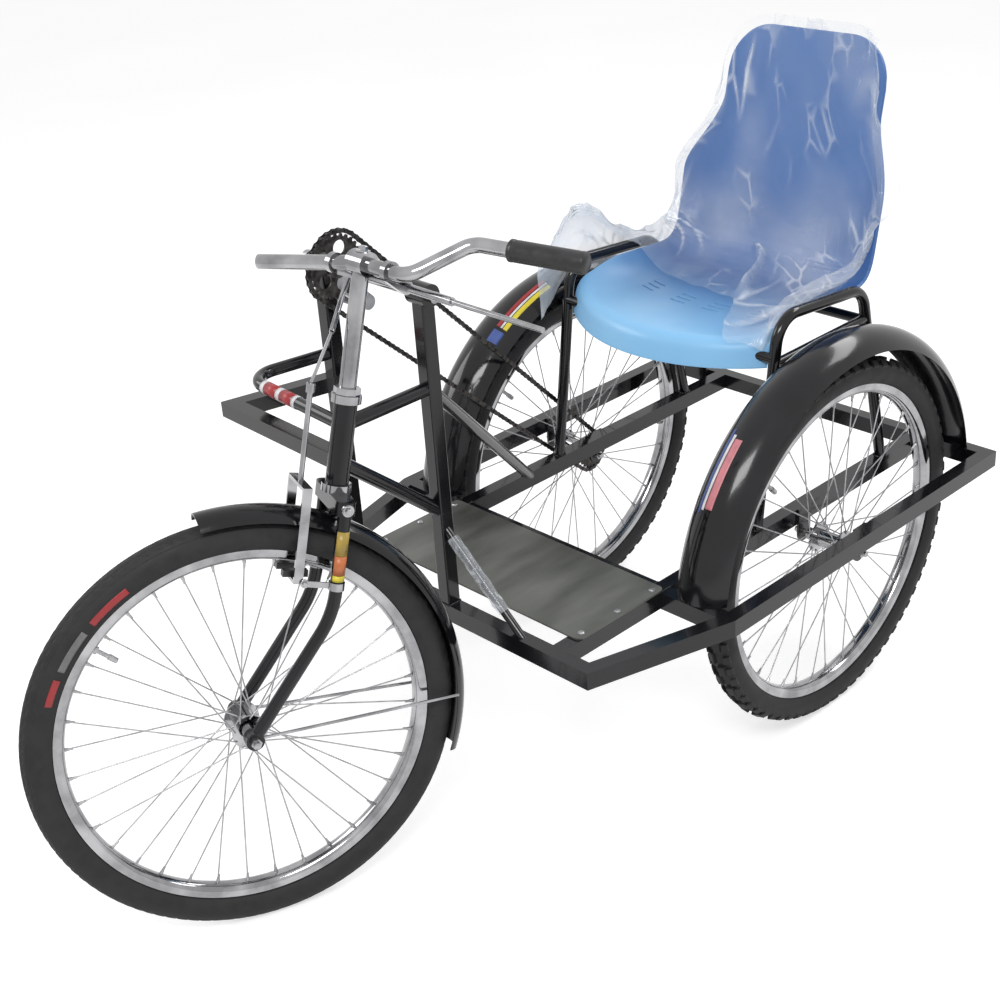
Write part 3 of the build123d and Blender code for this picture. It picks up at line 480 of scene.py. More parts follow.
def tyre_profile():
    """The tyre's section from one rim edge over the tread to the other."""
    return [on_tyre(degrees) for degrees in spread(FOOT_DEG, 180 - FOOT_DEG, TYRE_POINTS)]


def road_tread(i, j):
    """Four grooves round the tread, and slanting sipes between them."""
    if j < TREAD_FIRST or j > TREAD_LAST:
        return 0.0
    if j in (TREAD_FIRST, TREAD_FIRST + GROOVE_STEP, TREAD_LAST - GROOVE_STEP, TREAD_LAST):
        return GROOVE_DEEP
    middle = (TREAD_FIRST + TREAD_LAST) / 2
    slant = int(abs(j - middle))
    return GROOVE_DEEP if (i + slant) % SIPE_STEP == 0 else 0.0


WALL_TOP_DEG = 14.0
WALL_POINTS = 8
CARCASS_XS = (0.0215, 0.0200, 0.0120, 0.0050, 0.0)


def carcass_profile():
    """The lugged tyre's section between its lugs."""
    wall = [on_tyre(degrees) for degrees in spread(FOOT_DEG, WALL_TOP_DEG, WALL_POINTS)]
    crown_r = WHEEL_R - LUG_H
    for x in CARCASS_XS:
        wall.append((x, crown_r - x * LUG_SLOPE))
    return wall + [(-x, r) for x, r in reversed(wall[:-1])]


# Lug columns: lugs in a row on each side, how far along a pitch the first stands on the left and on
# the right, half length, then from foot to top: inner x and radius, outer x and radius, share of the length
CROWN_LUGS = (LUG_COUNT // 2, (0.0, 0.5), 0.0120, (
    (0.0012, WHEEL_R - 0.0090, 0.0145, WHEEL_R - 0.0120, 1.06),
    (LUG_INNER_X, WHEEL_R - 0.0010, 0.0137, WHEEL_R - 0.0045, 1.0),
    (0.0024, WHEEL_R, 0.0128, WHEEL_R - 0.0033, 0.90),
))
SHOULDER_LUGS = (LUG_COUNT, (0.0, 0.5), 0.0082, (
    (0.0148, WHEEL_R - 0.0130, 0.0205, WHEEL_R - 0.0220, 1.06),
    (0.0152, WHEEL_R - 0.0050, 0.0236, WHEEL_R - 0.0125, 1.0),
    (0.0162, WHEEL_R - 0.0040, 0.0229, WHEEL_R - 0.0103, 0.88),
))


def add_lugs(shape, row):
    """Adds one kind of lug, round both sides of the tyre."""
    count, firsts, half_length, levels = row
    for side, first in zip((1, -1), firsts):
        for k in range(count):
            middle = 2 * pi * (k + first) / count
            rings = []
            for inner_x, inner_r, outer_x, outer_r, share in levels:
                half = half_length * share / WHEEL_R
                ends = (middle - half, middle + half)
                inner = [around(side * inner_x, inner_r, angle) for angle in ends]
                outer = [around(side * outer_x, outer_r, angle) for angle in ends]
                rings.append([inner[0], *outer, inner[1]])
            add_block(shape, rings)


def lugged_tyre(name, place):
    shape = turned(carcass_profile(), RING_SEGMENTS)
    add_lugs(shape, CROWN_LUGS)
    add_lugs(shape, SHOULDER_LUGS)
    return add_mesh(name, *shape, TYRE, place, crease=30.0)


# Rim section, in metres, with its shoulder as a share of its depth
RIM_WALL = 0.0035
RIM_ROUND = 0.0012
RIM_WELL = 0.007
RIM_SHOULDER = 0.45
RIM_BACK_POINTS = 13


def rim_profile():
    """The rim's section: two edges, a well between them and a round back."""
    half = RIM_WIDTH / 2
    inside = half - RIM_WALL
    shoulder = RIM_EDGE_R - RIM_DEPTH * RIM_SHOULDER
    back_depth = shoulder - RIM_EDGE_R + RIM_DEPTH
    angles = spread(0.0, pi, RIM_BACK_POINTS)
    back = [(half * cos(angle), shoulder - back_depth * sin(angle)) for angle in angles]
    edge = [
        (half, RIM_EDGE_R - RIM_ROUND),
        (half - RIM_ROUND, RIM_EDGE_R),
        (inside + RIM_ROUND, RIM_EDGE_R),
        (inside, RIM_EDGE_R - RIM_ROUND),
        (inside, RIM_EDGE_R - RIM_WELL),
    ]
    return back + [(-x, radius) for x, radius in edge] + edge[::-1]


# Nipple and valve columns: from and to outside the rim's inner face, radius at each, sides
NIPPLE = (
    (0.001, -0.005, 0.0032, 0.0026, 8),
    (-0.005, -0.012, 0.0022, 0.0018, 8),
)
VALVE = (
    (0.001, -0.004, 0.0062, 0.0062, 12),
    (-0.004, -0.028, 0.0034, 0.0034, 12),
    (-0.024, -0.038, 0.0048, 0.0042, 12),
)
NIPPLE_SIDE = 0.002
VALVE_AT_SPOKE = 4.5


def nipples_and_valve(name, place):
    """Spoke nipples round the inside of the rim, and the valve."""
    shape = ([], [])
    inner = RIM_EDGE_R - RIM_DEPTH
    for k in range(SPOKE_COUNT):
        radial = around(0.0, 1.0, 2 * pi * k / SPOKE_COUNT)
        side = RIGHT * (NIPPLE_SIDE if k % 2 else -NIPPLE_SIDE)
        add_stack(shape, radial * inner + side, radial, NIPPLE)
    radial = around(0.0, 1.0, 2 * pi * VALVE_AT_SPOKE / SPOKE_COUNT)
    add_stack(shape, radial * inner, radial, VALVE)
    return add_mesh(name, *shape, ZINC, place)


# Wheels: the body of each, by the name in its parts' names
WHEELS = {"front": "front_wheel", "left": "wheel_left", "right": "wheel_right"}


def dress_wheels():
    for name, body in WHEELS.items():
        place = wheel_place(body)
        rim = add_mesh("rim_" + name + "_rolled", *turned(rim_profile(), RING_SEGMENTS), CHROME, place)
        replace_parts(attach(rim, body), "rim_" + name)
        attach(nipples_and_valve("nipples_" + name, place), body)
        if name == "front":
            shape = turned(tyre_profile(), TREAD_SEGMENTS, road_tread)
            tyre = add_mesh("tyre_front_tread", *shape, TYRE, place)
        else:
            tyre = lugged_tyre("tyre_" + name + "_lugs", place)
        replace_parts(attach(tyre, body), "tyre_" + name)


# Printed patch columns: name, colour, from and to in degrees round the front tyre
TYRE_PATCHES = [
    ("tyre_patch_red", RED, 25.0, 38.0),
    ("tyre_patch_grey", GREY, 41.0, 53.5),
    ("tyre_patch_rose", RED, 56.0, 64.0),
]
PATCH_COLUMNS = 20
PATCH_ROWS = 7
PATCH_DEG = (-20.0, 4.0)


def print_tyre():
    """Plain colour patches on the outer wall of the front tyre."""
    place = wheel_place("front_wheel")
    for name, colour, start, stop in TYRE_PATCHES:
        verts = []
        for turn in spread(start, stop, PATCH_COLUMNS):
            for degrees in spread(*PATCH_DEG, PATCH_ROWS):
                verts.append(around(*on_tyre(degrees, PRINT_LIFT), radians(turn)))
        patch = add_mesh(name, verts, grid_faces(PATCH_COLUMNS, PATCH_ROWS), colour, place)
        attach(thicken(patch, PRINT_T), "front_wheel")


# Chain

RING_R = PITCH / 2 / sin(pi / RING_TEETH)
COG_R = PITCH / 2 / sin(pi / COG_TEETH)


def on_circle(radius, angle, x=0.0):
    """A point of a circle whose middle is at x on the line between the axles."""
    return Vector((x + radius * cos(angle), radius * sin(angle)))


def chain_track(along, span, lean):
    """A point of the chain's pitch line in its own plane, from where it leaves the chainwheel."""
    straight = span * cos(lean)
    up = pi / 2 - lean
    if along < straight:
        return on_circle(RING_R, up) + on_circle(along, -lean)
    along -= straight
    if along < COG_R * 2 * up:
        return on_circle(COG_R, up - along / COG_R, span)
    along -= COG_R * 2 * up
    if along < straight:
        return on_circle(COG_R, -up, span) - on_circle(along, lean)
    return on_circle(RING_R, -up - (along - straight) / RING_R)


def plate_outline():
    """A chain plate: two round ends joined by a waist."""
    points = []
    for side in (1, -1):
        for degrees in spread(-PLATE_END_DEG, PLATE_END_DEG, PLATE_END_POINTS):
            angle = radians(degrees) + (0 if side > 0 else pi)
            points.append((side * PITCH / 2 + PLATE_R * cos(angle), PLATE_R * sin(angle)))
        points.append((0.0, side * PLATE_WAIST))
    return points


def make_chain():
    """Inner and outer plates in turn, with a roller and a pin at each joint."""
    start = Vector((RING_X, CRANK.y, CRANK.z))
    run = Vector((COG_X, REAR_AXLE.y, REAR_AXLE.z)) - start
    span = run.length
    ahead = run / span
    normal = (RIGHT - ahead * ahead.x).normalized()
    upward = normal.cross(ahead)
    lean = asin((RING_R - COG_R) / span)
    length = 2 * span * cos(lean) + COG_R * (pi - 2 * lean) + RING_R * (pi + 2 * lean)
    links = 2 * round(length / PITCH / 2)
    pins = [chain_track(length * (k + 0.5) / links, span, lean) for k in range(links)]

    def carried(spot, depth):
        return start + ahead * spot.x + upward * spot.y + normal * depth

    shape = ([], [])
    outline = plate_outline()
    for k in range(links):
        here = pins[k]
        after = pins[(k + 1) % links]
        middle = (here + after) / 2
        along = (after - here).normalized()
        across = Vector((-along.y, along.x))
        ring = [middle + along * x + across * y for x, y in outline]
        low = OUTER_PLATE if k % 2 == 0 else INNER_PLATE
        for side in (1, -1):
            rings = [[carried(spot, side * depth) for spot in ring] for depth in (low, low + PLATE_T)]
            add_block(shape, rings)
        add_stack(shape, carried(here, 0.0), normal, (
            (-ROLLER_HALF, ROLLER_HALF, ROLLER_R, ROLLER_R, 10),
            (-PIN_HALF, PIN_HALF, PIN_R, PIN_R, 8),
        ))
    chain = add_mesh("chain_links", *shape, DARK_STEEL, crease=30.0)
    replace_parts(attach(chain, "frame"), "chain")


# Seat

def rounded_path(corners, radii, steps):
    """Points along straight runs in (y, z) joined by smooth bends, evenly spaced."""
    runs = [Vector(corners[0])]
    for before, corner, after, radius in zip(corners, corners[1:], corners[2:], radii):
        corner = Vector(corner)
        into = (corner - Vector(before)).normalized()
        out = (Vector(after) - corner).normalized()
        reach = radius * tan(into.angle(out) / 2)
        first = corner - into * reach
        last = corner + out * reach
        for share in spread(0.0, 1.0, BEND_POINTS):
            runs.append(first * (1 - share) ** 2 + corner * 2 * share * (1 - share) + last * share ** 2)
    runs.append(Vector(corners[-1]))
    lengths = [0.0]
    for a, b in zip(runs, runs[1:]):
        lengths.append(lengths[-1] + (b - a).length)
    points = []
    k = 0
    for step in range(steps):
        want = lengths[-1] * step / (steps - 1)
        while k < len(runs) - 2 and lengths[k + 1] < want:
            k += 1
        share = (want - lengths[k]) / (lengths[k + 1] - lengths[k])
        points.append(runs[k].lerp(runs[k + 1], share))
    return points


def smooth_step(value, low, high):
    """0 below low, 1 above high, and smooth between them."""
    share = min(max((value - low) / (high - low), 0.0), 1.0)
    return share * share * (3 - 2 * share)


CURL_REACH = SEAT_HALF - SEAT_FLAT_HALF
CURL_R = (CURL_REACH ** 2 + SEAT_RISE ** 2) / (2 * SEAT_RISE)


def curl_at(x):
    """How far the seat's side has curled up at a distance from its middle."""
    beyond = max(abs(x) - SEAT_FLAT_HALF, 0.0)
    return CURL_R - sqrt(CURL_R ** 2 - beyond ** 2)


def seat_half_at(z):
    """Half the seat's width at a height: the back narrows above its waist."""
    return SEAT_HALF + (SEAT_TOP_HALF - SEAT_HALF) * smooth_step(z, SEAT_WAIST_Z, SEAT_SHOULDER_Z)


def seat_grid(columns, rows):
    """Rows of points over the seat, one path for each column, each with its inward normal."""
    grid = []
    back = (Vector(SEAT_TOP) - Vector(SEAT_REAR)).normalized()
    for across in spread(-1.0, 1.0, columns):
        setback = SEAT_NOSE_R - sqrt(SEAT_NOSE_R ** 2 - (across * SEAT_HALF) ** 2)
        past = max(abs(across) * SEAT_TOP_HALF - (SEAT_TOP_HALF - SEAT_TOP_CORNER), 0.0) / SEAT_TOP_CORNER
        lowered = SEAT_TOP_CORNER * (1 - sqrt(max(1 - past ** 2, 0.0)))
        corners = [
            (SEAT_LIP[0] + setback, SEAT_LIP[1]),
            (SEAT_FRONT[0] + setback, SEAT_FRONT[1]),
            SEAT_REAR,
            tuple(Vector(SEAT_TOP) - back * lowered),
        ]
        path = rounded_path(corners, [SEAT_LIP_R, SEAT_BACK_R], rows)
        column = []
        for r in range(rows):
            ahead = (path[min(r + 1, rows - 1)] - path[max(r - 1, 0)]).normalized()
            inward = Vector((-ahead.y, ahead.x))
            width_x = across * seat_half_at(path[r].y)
            share = NOSE_CURL + (1 - NOSE_CURL) * smooth_step(r / rows, 0.0, FULL_CURL_AT)
            spot = path[r] + inward * curl_at(width_x) * share
            column.append((drawn(width_x, spot.x, spot.y), Vector((0.0, inward.x, inward.y))))
        grid.append(column)
    return grid


# Vent slots: the rows and columns of the seat's grid that are left open
VENT_ROWS = (42, 46, 50)
VENT_COLUMNS = (*range(20, 29), *range(42, 51), *range(61, 70), *range(83, 92))


def make_seat(grid):
    verts = [point for column in grid for point, normal in column]
    faces = []
    for face in grid_faces(SEAT_COLUMNS, SEAT_ROWS):
        column, row = divmod(face[0], SEAT_ROWS)
        if not (column in VENT_COLUMNS and row in VENT_ROWS):
            faces.append(face)
    seat = add_mesh("seat_bucket", verts, faces, SEAT)
    thicken(seat, SEAT_THICK, 0.0)
    rim = seat.modifiers.new("rounded_rim", "BEVEL")
    rim.limit_method = "ANGLE"
    rim.angle_limit = radians(RIM_BEVEL_DEG)
    rim.width = RIM_BEVEL
    rim.segments = 2
    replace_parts(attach(seat, "frame"), "seat_shell")


# Polythene film over the seat

# A fixed seed: without one, noise vectors change from run to run
noise.seed_set(1)

FILM_COLUMNS = 240
FILM_ROWS = 280

# The film's reach in half widths of the seat, and its end in lengths of the seat
FILM_FAR = -1.62
FILM_NEAR = 1.34
FILM_TOP = 1.10

# Front edge as a share of the seat's length: in the middle, how far ahead it lies at either side, unevenness
START_MIDDLE = 0.285
START_NEAR = 0.245
START_FAR = 0.185
START_UNEVEN = 0.02

# Crumples: how the creases bend and fade, and for each kind the grain and the width of a crease
BEND_GRAIN = 7.0
BEND_REACH = 0.022
FADE_GRAIN = 0.7
FACETS = (9.0, 0.06)
FINE_FACETS = (27.0, 0.14)
BUNDLE_FACETS = (24.0, 0.16)
WRAP_FACETS = (60.0, 0.3)

# Place of a crumple for each share across and along the seat, sheared so that the creases run aslant
SHEET_ACROSS = Vector((0.20, -0.03, 0.0))
SHEET_ALONG = Vector((0.34, 0.42, 0.0))
SHEET_LEVEL = UP * 0.30
FINE_LEVEL = UP * 0.37
BUNDLE_LEVEL = 0.8
BUNDLE_STRETCH = 1.6

# Metres that each thing lifts the film off the seat, and how milky each makes it; the crease and fine shares are
# partly painted glints along the creases
FILM_GAP = 0.004
FILM_LIFT = {"facet": 0.016, "fine": 0.006, "slack": 0.026, "back": 0.004, "fold": 0.034}
MILK_LEAST = 0.05
MILK_MOST = 0.84
FILM_MILK_AND_GLINT = {
    "crease": 0.50, "fine": 0.34, "rim": 0.14, "pan": 0.10, "fold": 0.24, "haze": 0.13, "far": 0.16}

# The slack where pan and back meet, and the fold across the pan, in shares of the seat's length and width
SLACK_AT = 0.50
SLACK_REACH = 0.10
FOLD_AT = (0.25, 0.29)
FOLD_SLANT = 1.3
FOLD_REACH = 0.06

# The film turned round the sides and the top of the back, in metres
ROLL_R = 0.030
ROLL_OUT = 0.020
ROLL_BACK = 0.010
TOP_ROLL_R = 0.016
TOP_ROLL_BACK = 0.014
TOP_REACH = 0.9

# The far armrest's top at its front and rear, and the film over it and outside it, in metres
ARM_TOP = (0.748, 0.728)
ARM_TOP_Y = (-0.062, 0.172)
ARM_GAP = 0.014
ARM_REACH = 0.034
ARM_OUT = 0.016
HANG_OUT = 0.015
HANG_TURN = 0.02
HANG_UNEVEN = 0.4

# The bundle of film on the armrest, in metres
PUFF_Y = -0.025
PUFF_H = 0.078
PUFF_REACH = 0.075
PUFF_AHEAD = 0.105
BUNDLE_H = 0.022
BUNDLE_OUT = 0.004

# The film beside the near edge of the pan: how far it leans in and rises with its reach
NEAR_LEAN = -0.10
NEAR_RISE = 0.35

# Ranges of a noise, a height or a share of the seat over which something comes in or fades out
FADE_RANGE = (0.02, 0.5)
HAZE_RANGE = (-0.1, 0.6)
BACK_ZS = (0.76, 0.86)
NEAR_START = (0.15, 0.80)
FAR_START = (1.0, 1.15)
FAR_MILK = (1.0, 1.1)
RIM_MILK = (0.88, 1.02)
TOP_CORNERS = (0.6, 1.0)
SIDES_END = (0.80, 0.97)
PUFF_END = (0.10, 0.42)
FOLD_START = (0.27, 0.33)
FOLD_END = (0.46, 0.56)


def bell(value, middle, reach):
    """1 at the middle, and falling off smoothly to both sides."""
    return exp(-((value - middle) / reach) ** 2)


def weighed(weights, shares):
    """The sum of shares, each times its weight."""
    return sum(weights[name] * share for name, share in shares.items())


def facets(point, grain, width):
    """Crumpled facets: the height, which is sharp between facets, and how near a crease is, from 0 to 1."""
    bent = point + noise.noise_vector(point * BEND_GRAIN) * BEND_REACH
    distances = noise.voronoi(bent * grain)[0]
    line = max(1.0 - (distances[1] - distances[0]) / width, 0.0)
    return distances[0], line * smooth_step(noise.noise(point * grain * FADE_GRAIN), *FADE_RANGE)


def seat_spot(grid, across, along):
    """A point of the seat and its inward normal, by shares across (-1 to 1) and along (0 to 1)."""
    c = min(max((across + 1) / 2, 0.0), 1.0) * (SEAT_COLUMNS - 1)
    r = min(max(along, 0.0), 1.0) * (SEAT_ROWS - 1)
    c0 = min(int(c), SEAT_COLUMNS - 2)
    r0 = min(int(r), SEAT_ROWS - 2)
    found = []
    for kind in (0, 1):
        left, right = [column[r0][kind].lerp(column[r0 + 1][kind], r - r0) for column in grid[c0:c0 + 2]]
        found.append(left.lerp(right, c - c0))
    return found[0], found[1].normalized()


def film_start(across):
    """Where the film's front edge lies along the seat: it leaves the nose and the far front corner bare."""
    near = smooth_step(across, *NEAR_START)
    far = smooth_step(-across, *FAR_START)
    return START_MIDDLE - START_NEAR * near - START_FAR * far


def film_round_back(edge, normal, side, beyond, lift):
    """Beyond the side of the back, the film turns round its edge and lies behind it."""
    turn = min(beyond / ROLL_R, pi)
    behind = max(beyond - ROLL_R * pi, 0.0)
    outward = RIGHT * side * (ROLL_OUT * sin(turn) - behind)
    return edge + outward + normal * (lift * cos(turn) - ROLL_BACK * (1 - cos(turn)))


def film_over_arm(edge, along, beyond, lift, height):
    """Beyond the far side of the pan: a point over or outside the armrest, and how near a crease is."""
    over = min(beyond / ARM_REACH, 1.0)
    fall = max(beyond - ARM_REACH, 0.0)
    y = edge.y - DRAWN_ORIGIN.y - PUFF_AHEAD * over * (1 - smooth_step(along, *PUFF_END))
    bundle_height, crease = facets(Vector((beyond * BUNDLE_STRETCH, y, BUNDLE_LEVEL)), *BUNDLE_FACETS)
    top = ARM_TOP[0] + (ARM_TOP[1] - ARM_TOP[0]) * smooth_step(y, *ARM_TOP_Y) + ARM_GAP
    top += PUFF_H * bell(y, PUFF_Y, PUFF_REACH) + BUNDLE_H * bundle_height
    x = edge.x - (ARM_OUT + BUNDLE_OUT * bundle_height) * over - HANG_OUT * smooth_step(fall, 0.0, HANG_TURN)
    z = edge.z + lift
    z += (top - z) * sin(over * pi / 2) - fall * (1 + HANG_UNEVEN * height)
    return Vector((x, DRAWN_ORIGIN.y + y, z)), crease * over


def film_point(grid, across, along):
    """A point of the film, and how milky it is there, with painted glints along its creases."""
    edge, normal = seat_spot(grid, across, along)
    on_back = smooth_step(edge.z, *BACK_ZS)
    beyond = max(abs(across) - 1.0, 0.0) * SEAT_HALF * (1 - smooth_step(along, *SIDES_END))
    sheet = SHEET_ACROSS * across + SHEET_ALONG * along + SHEET_LEVEL
    height, crease = facets(sheet, *FACETS)
    fine_height, fine = facets(sheet + FINE_LEVEL, *FINE_FACETS)
    haze = smooth_step(noise.noise(sheet * FACETS[0]), *HAZE_RANGE)
    slack = bell(along, SLACK_AT, SLACK_REACH)
    fold = bell(across, FOLD_AT[0] - FOLD_SLANT * (along - FOLD_AT[1]), FOLD_REACH)
    fold *= smooth_step(along, *FOLD_START) * (1 - smooth_step(along, *FOLD_END))
    lift = FILM_GAP + weighed(FILM_LIFT, {
        "facet": height, "fine": fine_height, "slack": slack, "back": on_back, "fold": fold})
    point = edge + normal * lift
    if beyond > 0.0:
        back_point = film_round_back(edge, normal, 1.0 if across > 0 else -1.0, beyond, lift)
        if across > 0:
            pan_point = edge + Vector((NEAR_LEAN * beyond, 0.0, lift + NEAR_RISE * beyond))
        else:
            pan_point, bundled = film_over_arm(edge, along, beyond, lift, height)
            fine = max(fine, bundled * (1 - on_back))
        point = pan_point.lerp(back_point, on_back)
    over_top = max(along - 1.0, 0.0) * TOP_REACH * (1 - smooth_step(abs(across), *TOP_CORNERS))
    if over_top > 0.0:
        turn = min(over_top / TOP_ROLL_R, pi)
        point.z += TOP_ROLL_R * sin(turn) - max(over_top - TOP_ROLL_R * pi, 0.0)
        point.y += TOP_ROLL_BACK * (1 - cos(turn))
    # The crease and fine shares are partly creased film and partly painted glints along the creases
    milk_and_glint = MILK_LEAST + weighed(FILM_MILK_AND_GLINT, {
        "crease": crease, "fine": fine, "fold": fold, "haze": haze, "pan": 1 - on_back,
        "rim": smooth_step(abs(across), *RIM_MILK),
        "far": smooth_step(-across, *FAR_MILK) * (1 - on_back)})
    return point, min(milk_and_glint, MILK_MOST)


def add_film(name, columns, rows, spots):
    """A sheet of film over spots, each a point and how milky the film is there, painted glints on its creases
    included.
    """
    film = add_mesh(name, [point for point, milk_and_glint in spots], grid_faces(columns, rows), FILM, crease=180.0)
    cover = film.data.attributes.new("cover", "FLOAT", "POINT")
    cover.data.foreach_set("value", [milk_and_glint for point, milk_and_glint in spots])
    return film


def make_film(grid):
    """Thin packing film that is draped over the back, the pan and the far armrest."""
    spots = []
    for across in spread(FILM_FAR, FILM_NEAR, FILM_COLUMNS):
        start = film_start(across) + START_UNEVEN * noise.noise(Vector((across * 3.0, 0.0, 7.0)))
        spots += [film_point(grid, across, along) for along in spread(start, FILM_TOP, FILM_ROWS)]
    film = add_film("seat_film", FILM_COLUMNS, FILM_ROWS, spots)
    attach(film, "frame")


STRUT_TOP = (0.006, -0.614, 0.515)
STRUT_FOOT = (0.160, -0.614, 0.3813)
WRAP_COLUMNS = 25
WRAP_ROWS = 60

# The wound film: its share of the strut, its radius, its crumples and how far it winds outward in half a turn
WRAP_RUN = (0.10, 0.80)
WRAP_R = 0.0078
WRAP_CRUMPLE = 0.0026
WRAP_WIND = 0.0006
WRAP_SAMPLE_R = 0.02
# How milky the wound film is, and how much more so on its creases, which carry painted glints
WRAP_MILK = 0.22
WRAP_CREASE_GLINT_MILK = 0.6


def make_wrap():
    """Film wound round the upper part of the post strut."""
    start = drawn(*STRUT_TOP)
    run = drawn(*STRUT_FOOT) - start
    axis = run.normalized()
    across = Vector((0.0, 1.0, 0.0))
    other = axis.cross(across)
    spots = []
    for angle in spread(0.0, 2 * pi, WRAP_COLUMNS):
        outward = across * cos(angle) + other * sin(angle)
        for share in spread(*WRAP_RUN, WRAP_ROWS):
            spot = start + run * share
            height, crease = facets(spot + outward * WRAP_SAMPLE_R, *WRAP_FACETS)
            radius = WRAP_R + WRAP_CRUMPLE * height + WRAP_WIND * angle / pi
            # The creases of the wound film are partly creased film and partly painted glints
            spots.append((spot + outward * radius, WRAP_MILK + WRAP_CREASE_GLINT_MILK * crease))
    wrap = add_film("strut_film", WRAP_COLUMNS, WRAP_ROWS, spots)
    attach(wrap, "frame")


# Stripes

GUARD_ARCH_R = (GUARD_HALF ** 2 + GUARD_DROP ** 2) / (2 * GUARD_DROP)

# Guard stripe columns: name, colour, side, then in degrees from and to round the wheel and across the arch
GUARD_STRIPES = [
    ("guard_right_red", RED, "right", 12.0, 32.0, 16.0, 23.0),
    ("guard_right_white", WHITE, "right", 12.0, 32.0, 24.5, 28.5),
    ("guard_right_yellow", YELLOW, "right", 12.0, 32.0, 30.0, 39.0),
    ("guard_right_blue", BLUE, "right", 33.0, 37.0, 16.0, 39.0),
    ("guard_left_blue", BLUE, "left", 38.5, 60.5, -26.0, -20.0),
    ("guard_left_white", WHITE, "left", 40.0, 59.5, -18.5, -12.5),
    ("guard_left_rose", ROSE, "left", 41.0, 59.0, -11.0, 4.0),
]
STRIPE_COLUMNS = 30
STRIPE_ROWS = 5
SLEEVE_COLUMNS = 25


def stripe_guards():
    """Plain stripes over the crowns of the rear mudguards."""
    arch = GUARD_ARCH_R + PRINT_LIFT
    for name, colour, side, start, stop, low, high in GUARD_STRIPES:
        centre = Vector(joints["wheel_" + side + "_spin"]["pos_m"])
        verts = []
        for turn in spread(start, stop, STRIPE_COLUMNS):
            for degrees in spread(low, high, STRIPE_ROWS):
                tilt = radians(degrees)
                radius = GUARD_R - GUARD_ARCH_R + arch * cos(tilt)
                verts.append(centre + around(arch * sin(tilt), radius, radians(turn)))
        stripe = add_mesh(name, verts, grid_faces(STRIPE_COLUMNS, STRIPE_ROWS), colour)
        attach(thicken(stripe, PRINT_T), "frame")


def sleeve(name, colour, start, end, radius, body, middle=None, half_deg=180.0):
    """A printed band round a bar, whole or centred on a direction."""
    axis = (end - start).normalized()
    across = (middle - axis * middle.dot(axis)).normalized() if middle else axis.orthogonal().normalized()
    other = axis.cross(across)
    verts = []
    for degrees in spread(-half_deg, half_deg, SLEEVE_COLUMNS):
        angle = radians(degrees)
        outward = across * cos(angle) + other * sin(angle)
        verts += [start + outward * radius, end + outward * radius]
    band = add_mesh(name, verts, grid_faces(SLEEVE_COLUMNS, 2), colour)
    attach(thicken(band, PRINT_T), body)


# Fork stripe columns: name, colour, from and to along the blade below the crown
FORK_STRIPES = [
    ("blade_gold", GOLD, -0.045, -0.082),
    ("blade_orange", ORANGE, -0.0825, -0.112),
    ("blade_yellow", YELLOW, -0.1125, -0.122),
]
BLADE_STRIPE_TURN = -0.3
BLADE_STRIPE_HALF_DEG = 80.0

HOOP_CORNER = (-0.258, -0.767, 0.755)
HOOP_HEAD = (0.0, -0.7848, 0.755)
HOOP_R = 0.010

# Hoop band columns: name, colour, from and to as shares of the run from the hoop's corner to the head tube
HOOP_BANDS = [
    ("hoop_white_1", WHITE, 0.20, 0.235),
    ("hoop_red_1", RED, 0.236, 0.36),
    ("hoop_white_2", WHITE, 0.361, 0.40),
    ("hoop_red_2", RED, 0.401, 0.525),
    ("hoop_white_3", WHITE, 0.526, 0.56),
]


def stripe_bars():
    middle = FORK_SIDE + FORK_FORWARD * BLADE_STRIPE_TURN
    for name, colour, top, low in FORK_STRIPES:
        start = steer_point(top, 0.0, BLADE_X)
        end = steer_point(low, 0.0, BLADE_X)
        sleeve(name, colour, start, end, BLADE_R + PRINT_LIFT, "steering", middle, BLADE_STRIPE_HALF_DEG)
    corner = drawn(*HOOP_CORNER)
    run = drawn(*HOOP_HEAD) - corner
    for name, colour, start, stop in HOOP_BANDS:
        sleeve(name, colour, corner + run * start, corner + run * stop, HOOP_R + PRINT_LIFT, "frame")


# Small fittings

GRIP_BORE_R = 0.0113
GRIP_SEGMENTS = 48
GRIP_RIBS = 26
GRIP_RIBS_FROM = 0.010
GRIP_RIBS_RUN = GRIP_LENGTH - 0.022
GRIP_RIB_DIPS = (0.0002, 0.0008)
GRIP_MIDDLE_R = 0.0002
GRIP_CAP_GAP = 0.0004

# Collar and dome columns: distance from the grip's inner or outer end, depth below the grip's radius
GRIP_COLLAR = ((0.0, 0.0012), (0.0012, 0.0), (0.005, 0.0), (0.0062, 0.001))
GRIP_DOME = ((0.008, 0.0), (0.003, 0.001), (0.0, 0.005))


def make_grip():
    """A moulded grip with a collar, shallow ribs and a domed end."""
    axis = (Vector(BAR_END) - Vector(BAR_SHOULDER)).normalized()
    place = along_axis(drawn(*BAR_END) - axis * (GRIP_LENGTH - GRIP_CAP), axis)
    bore_end = GRIP_LENGTH - GRIP_CAP + GRIP_CAP_GAP
    profile = [(0.0, GRIP_BORE_R)]
    profile += [(x, GRIP_R - depth) for x, depth in GRIP_COLLAR]
    for k in range(GRIP_RIBS * 2):
        profile.append((GRIP_RIBS_FROM + GRIP_RIBS_RUN * k / (GRIP_RIBS * 2), GRIP_R - GRIP_RIB_DIPS[k % 2]))
    profile += [(GRIP_LENGTH - x, GRIP_R - depth) for x, depth in GRIP_DOME]
    profile += [(GRIP_LENGTH, GRIP_MIDDLE_R), (bore_end, GRIP_MIDDLE_R), (bore_end, GRIP_BORE_R)]
    grip = add_mesh("grip_moulded", *turned(profile, GRIP_SEGMENTS), RUBBER, place)
    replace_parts(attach(grip, "steering"), "grip")


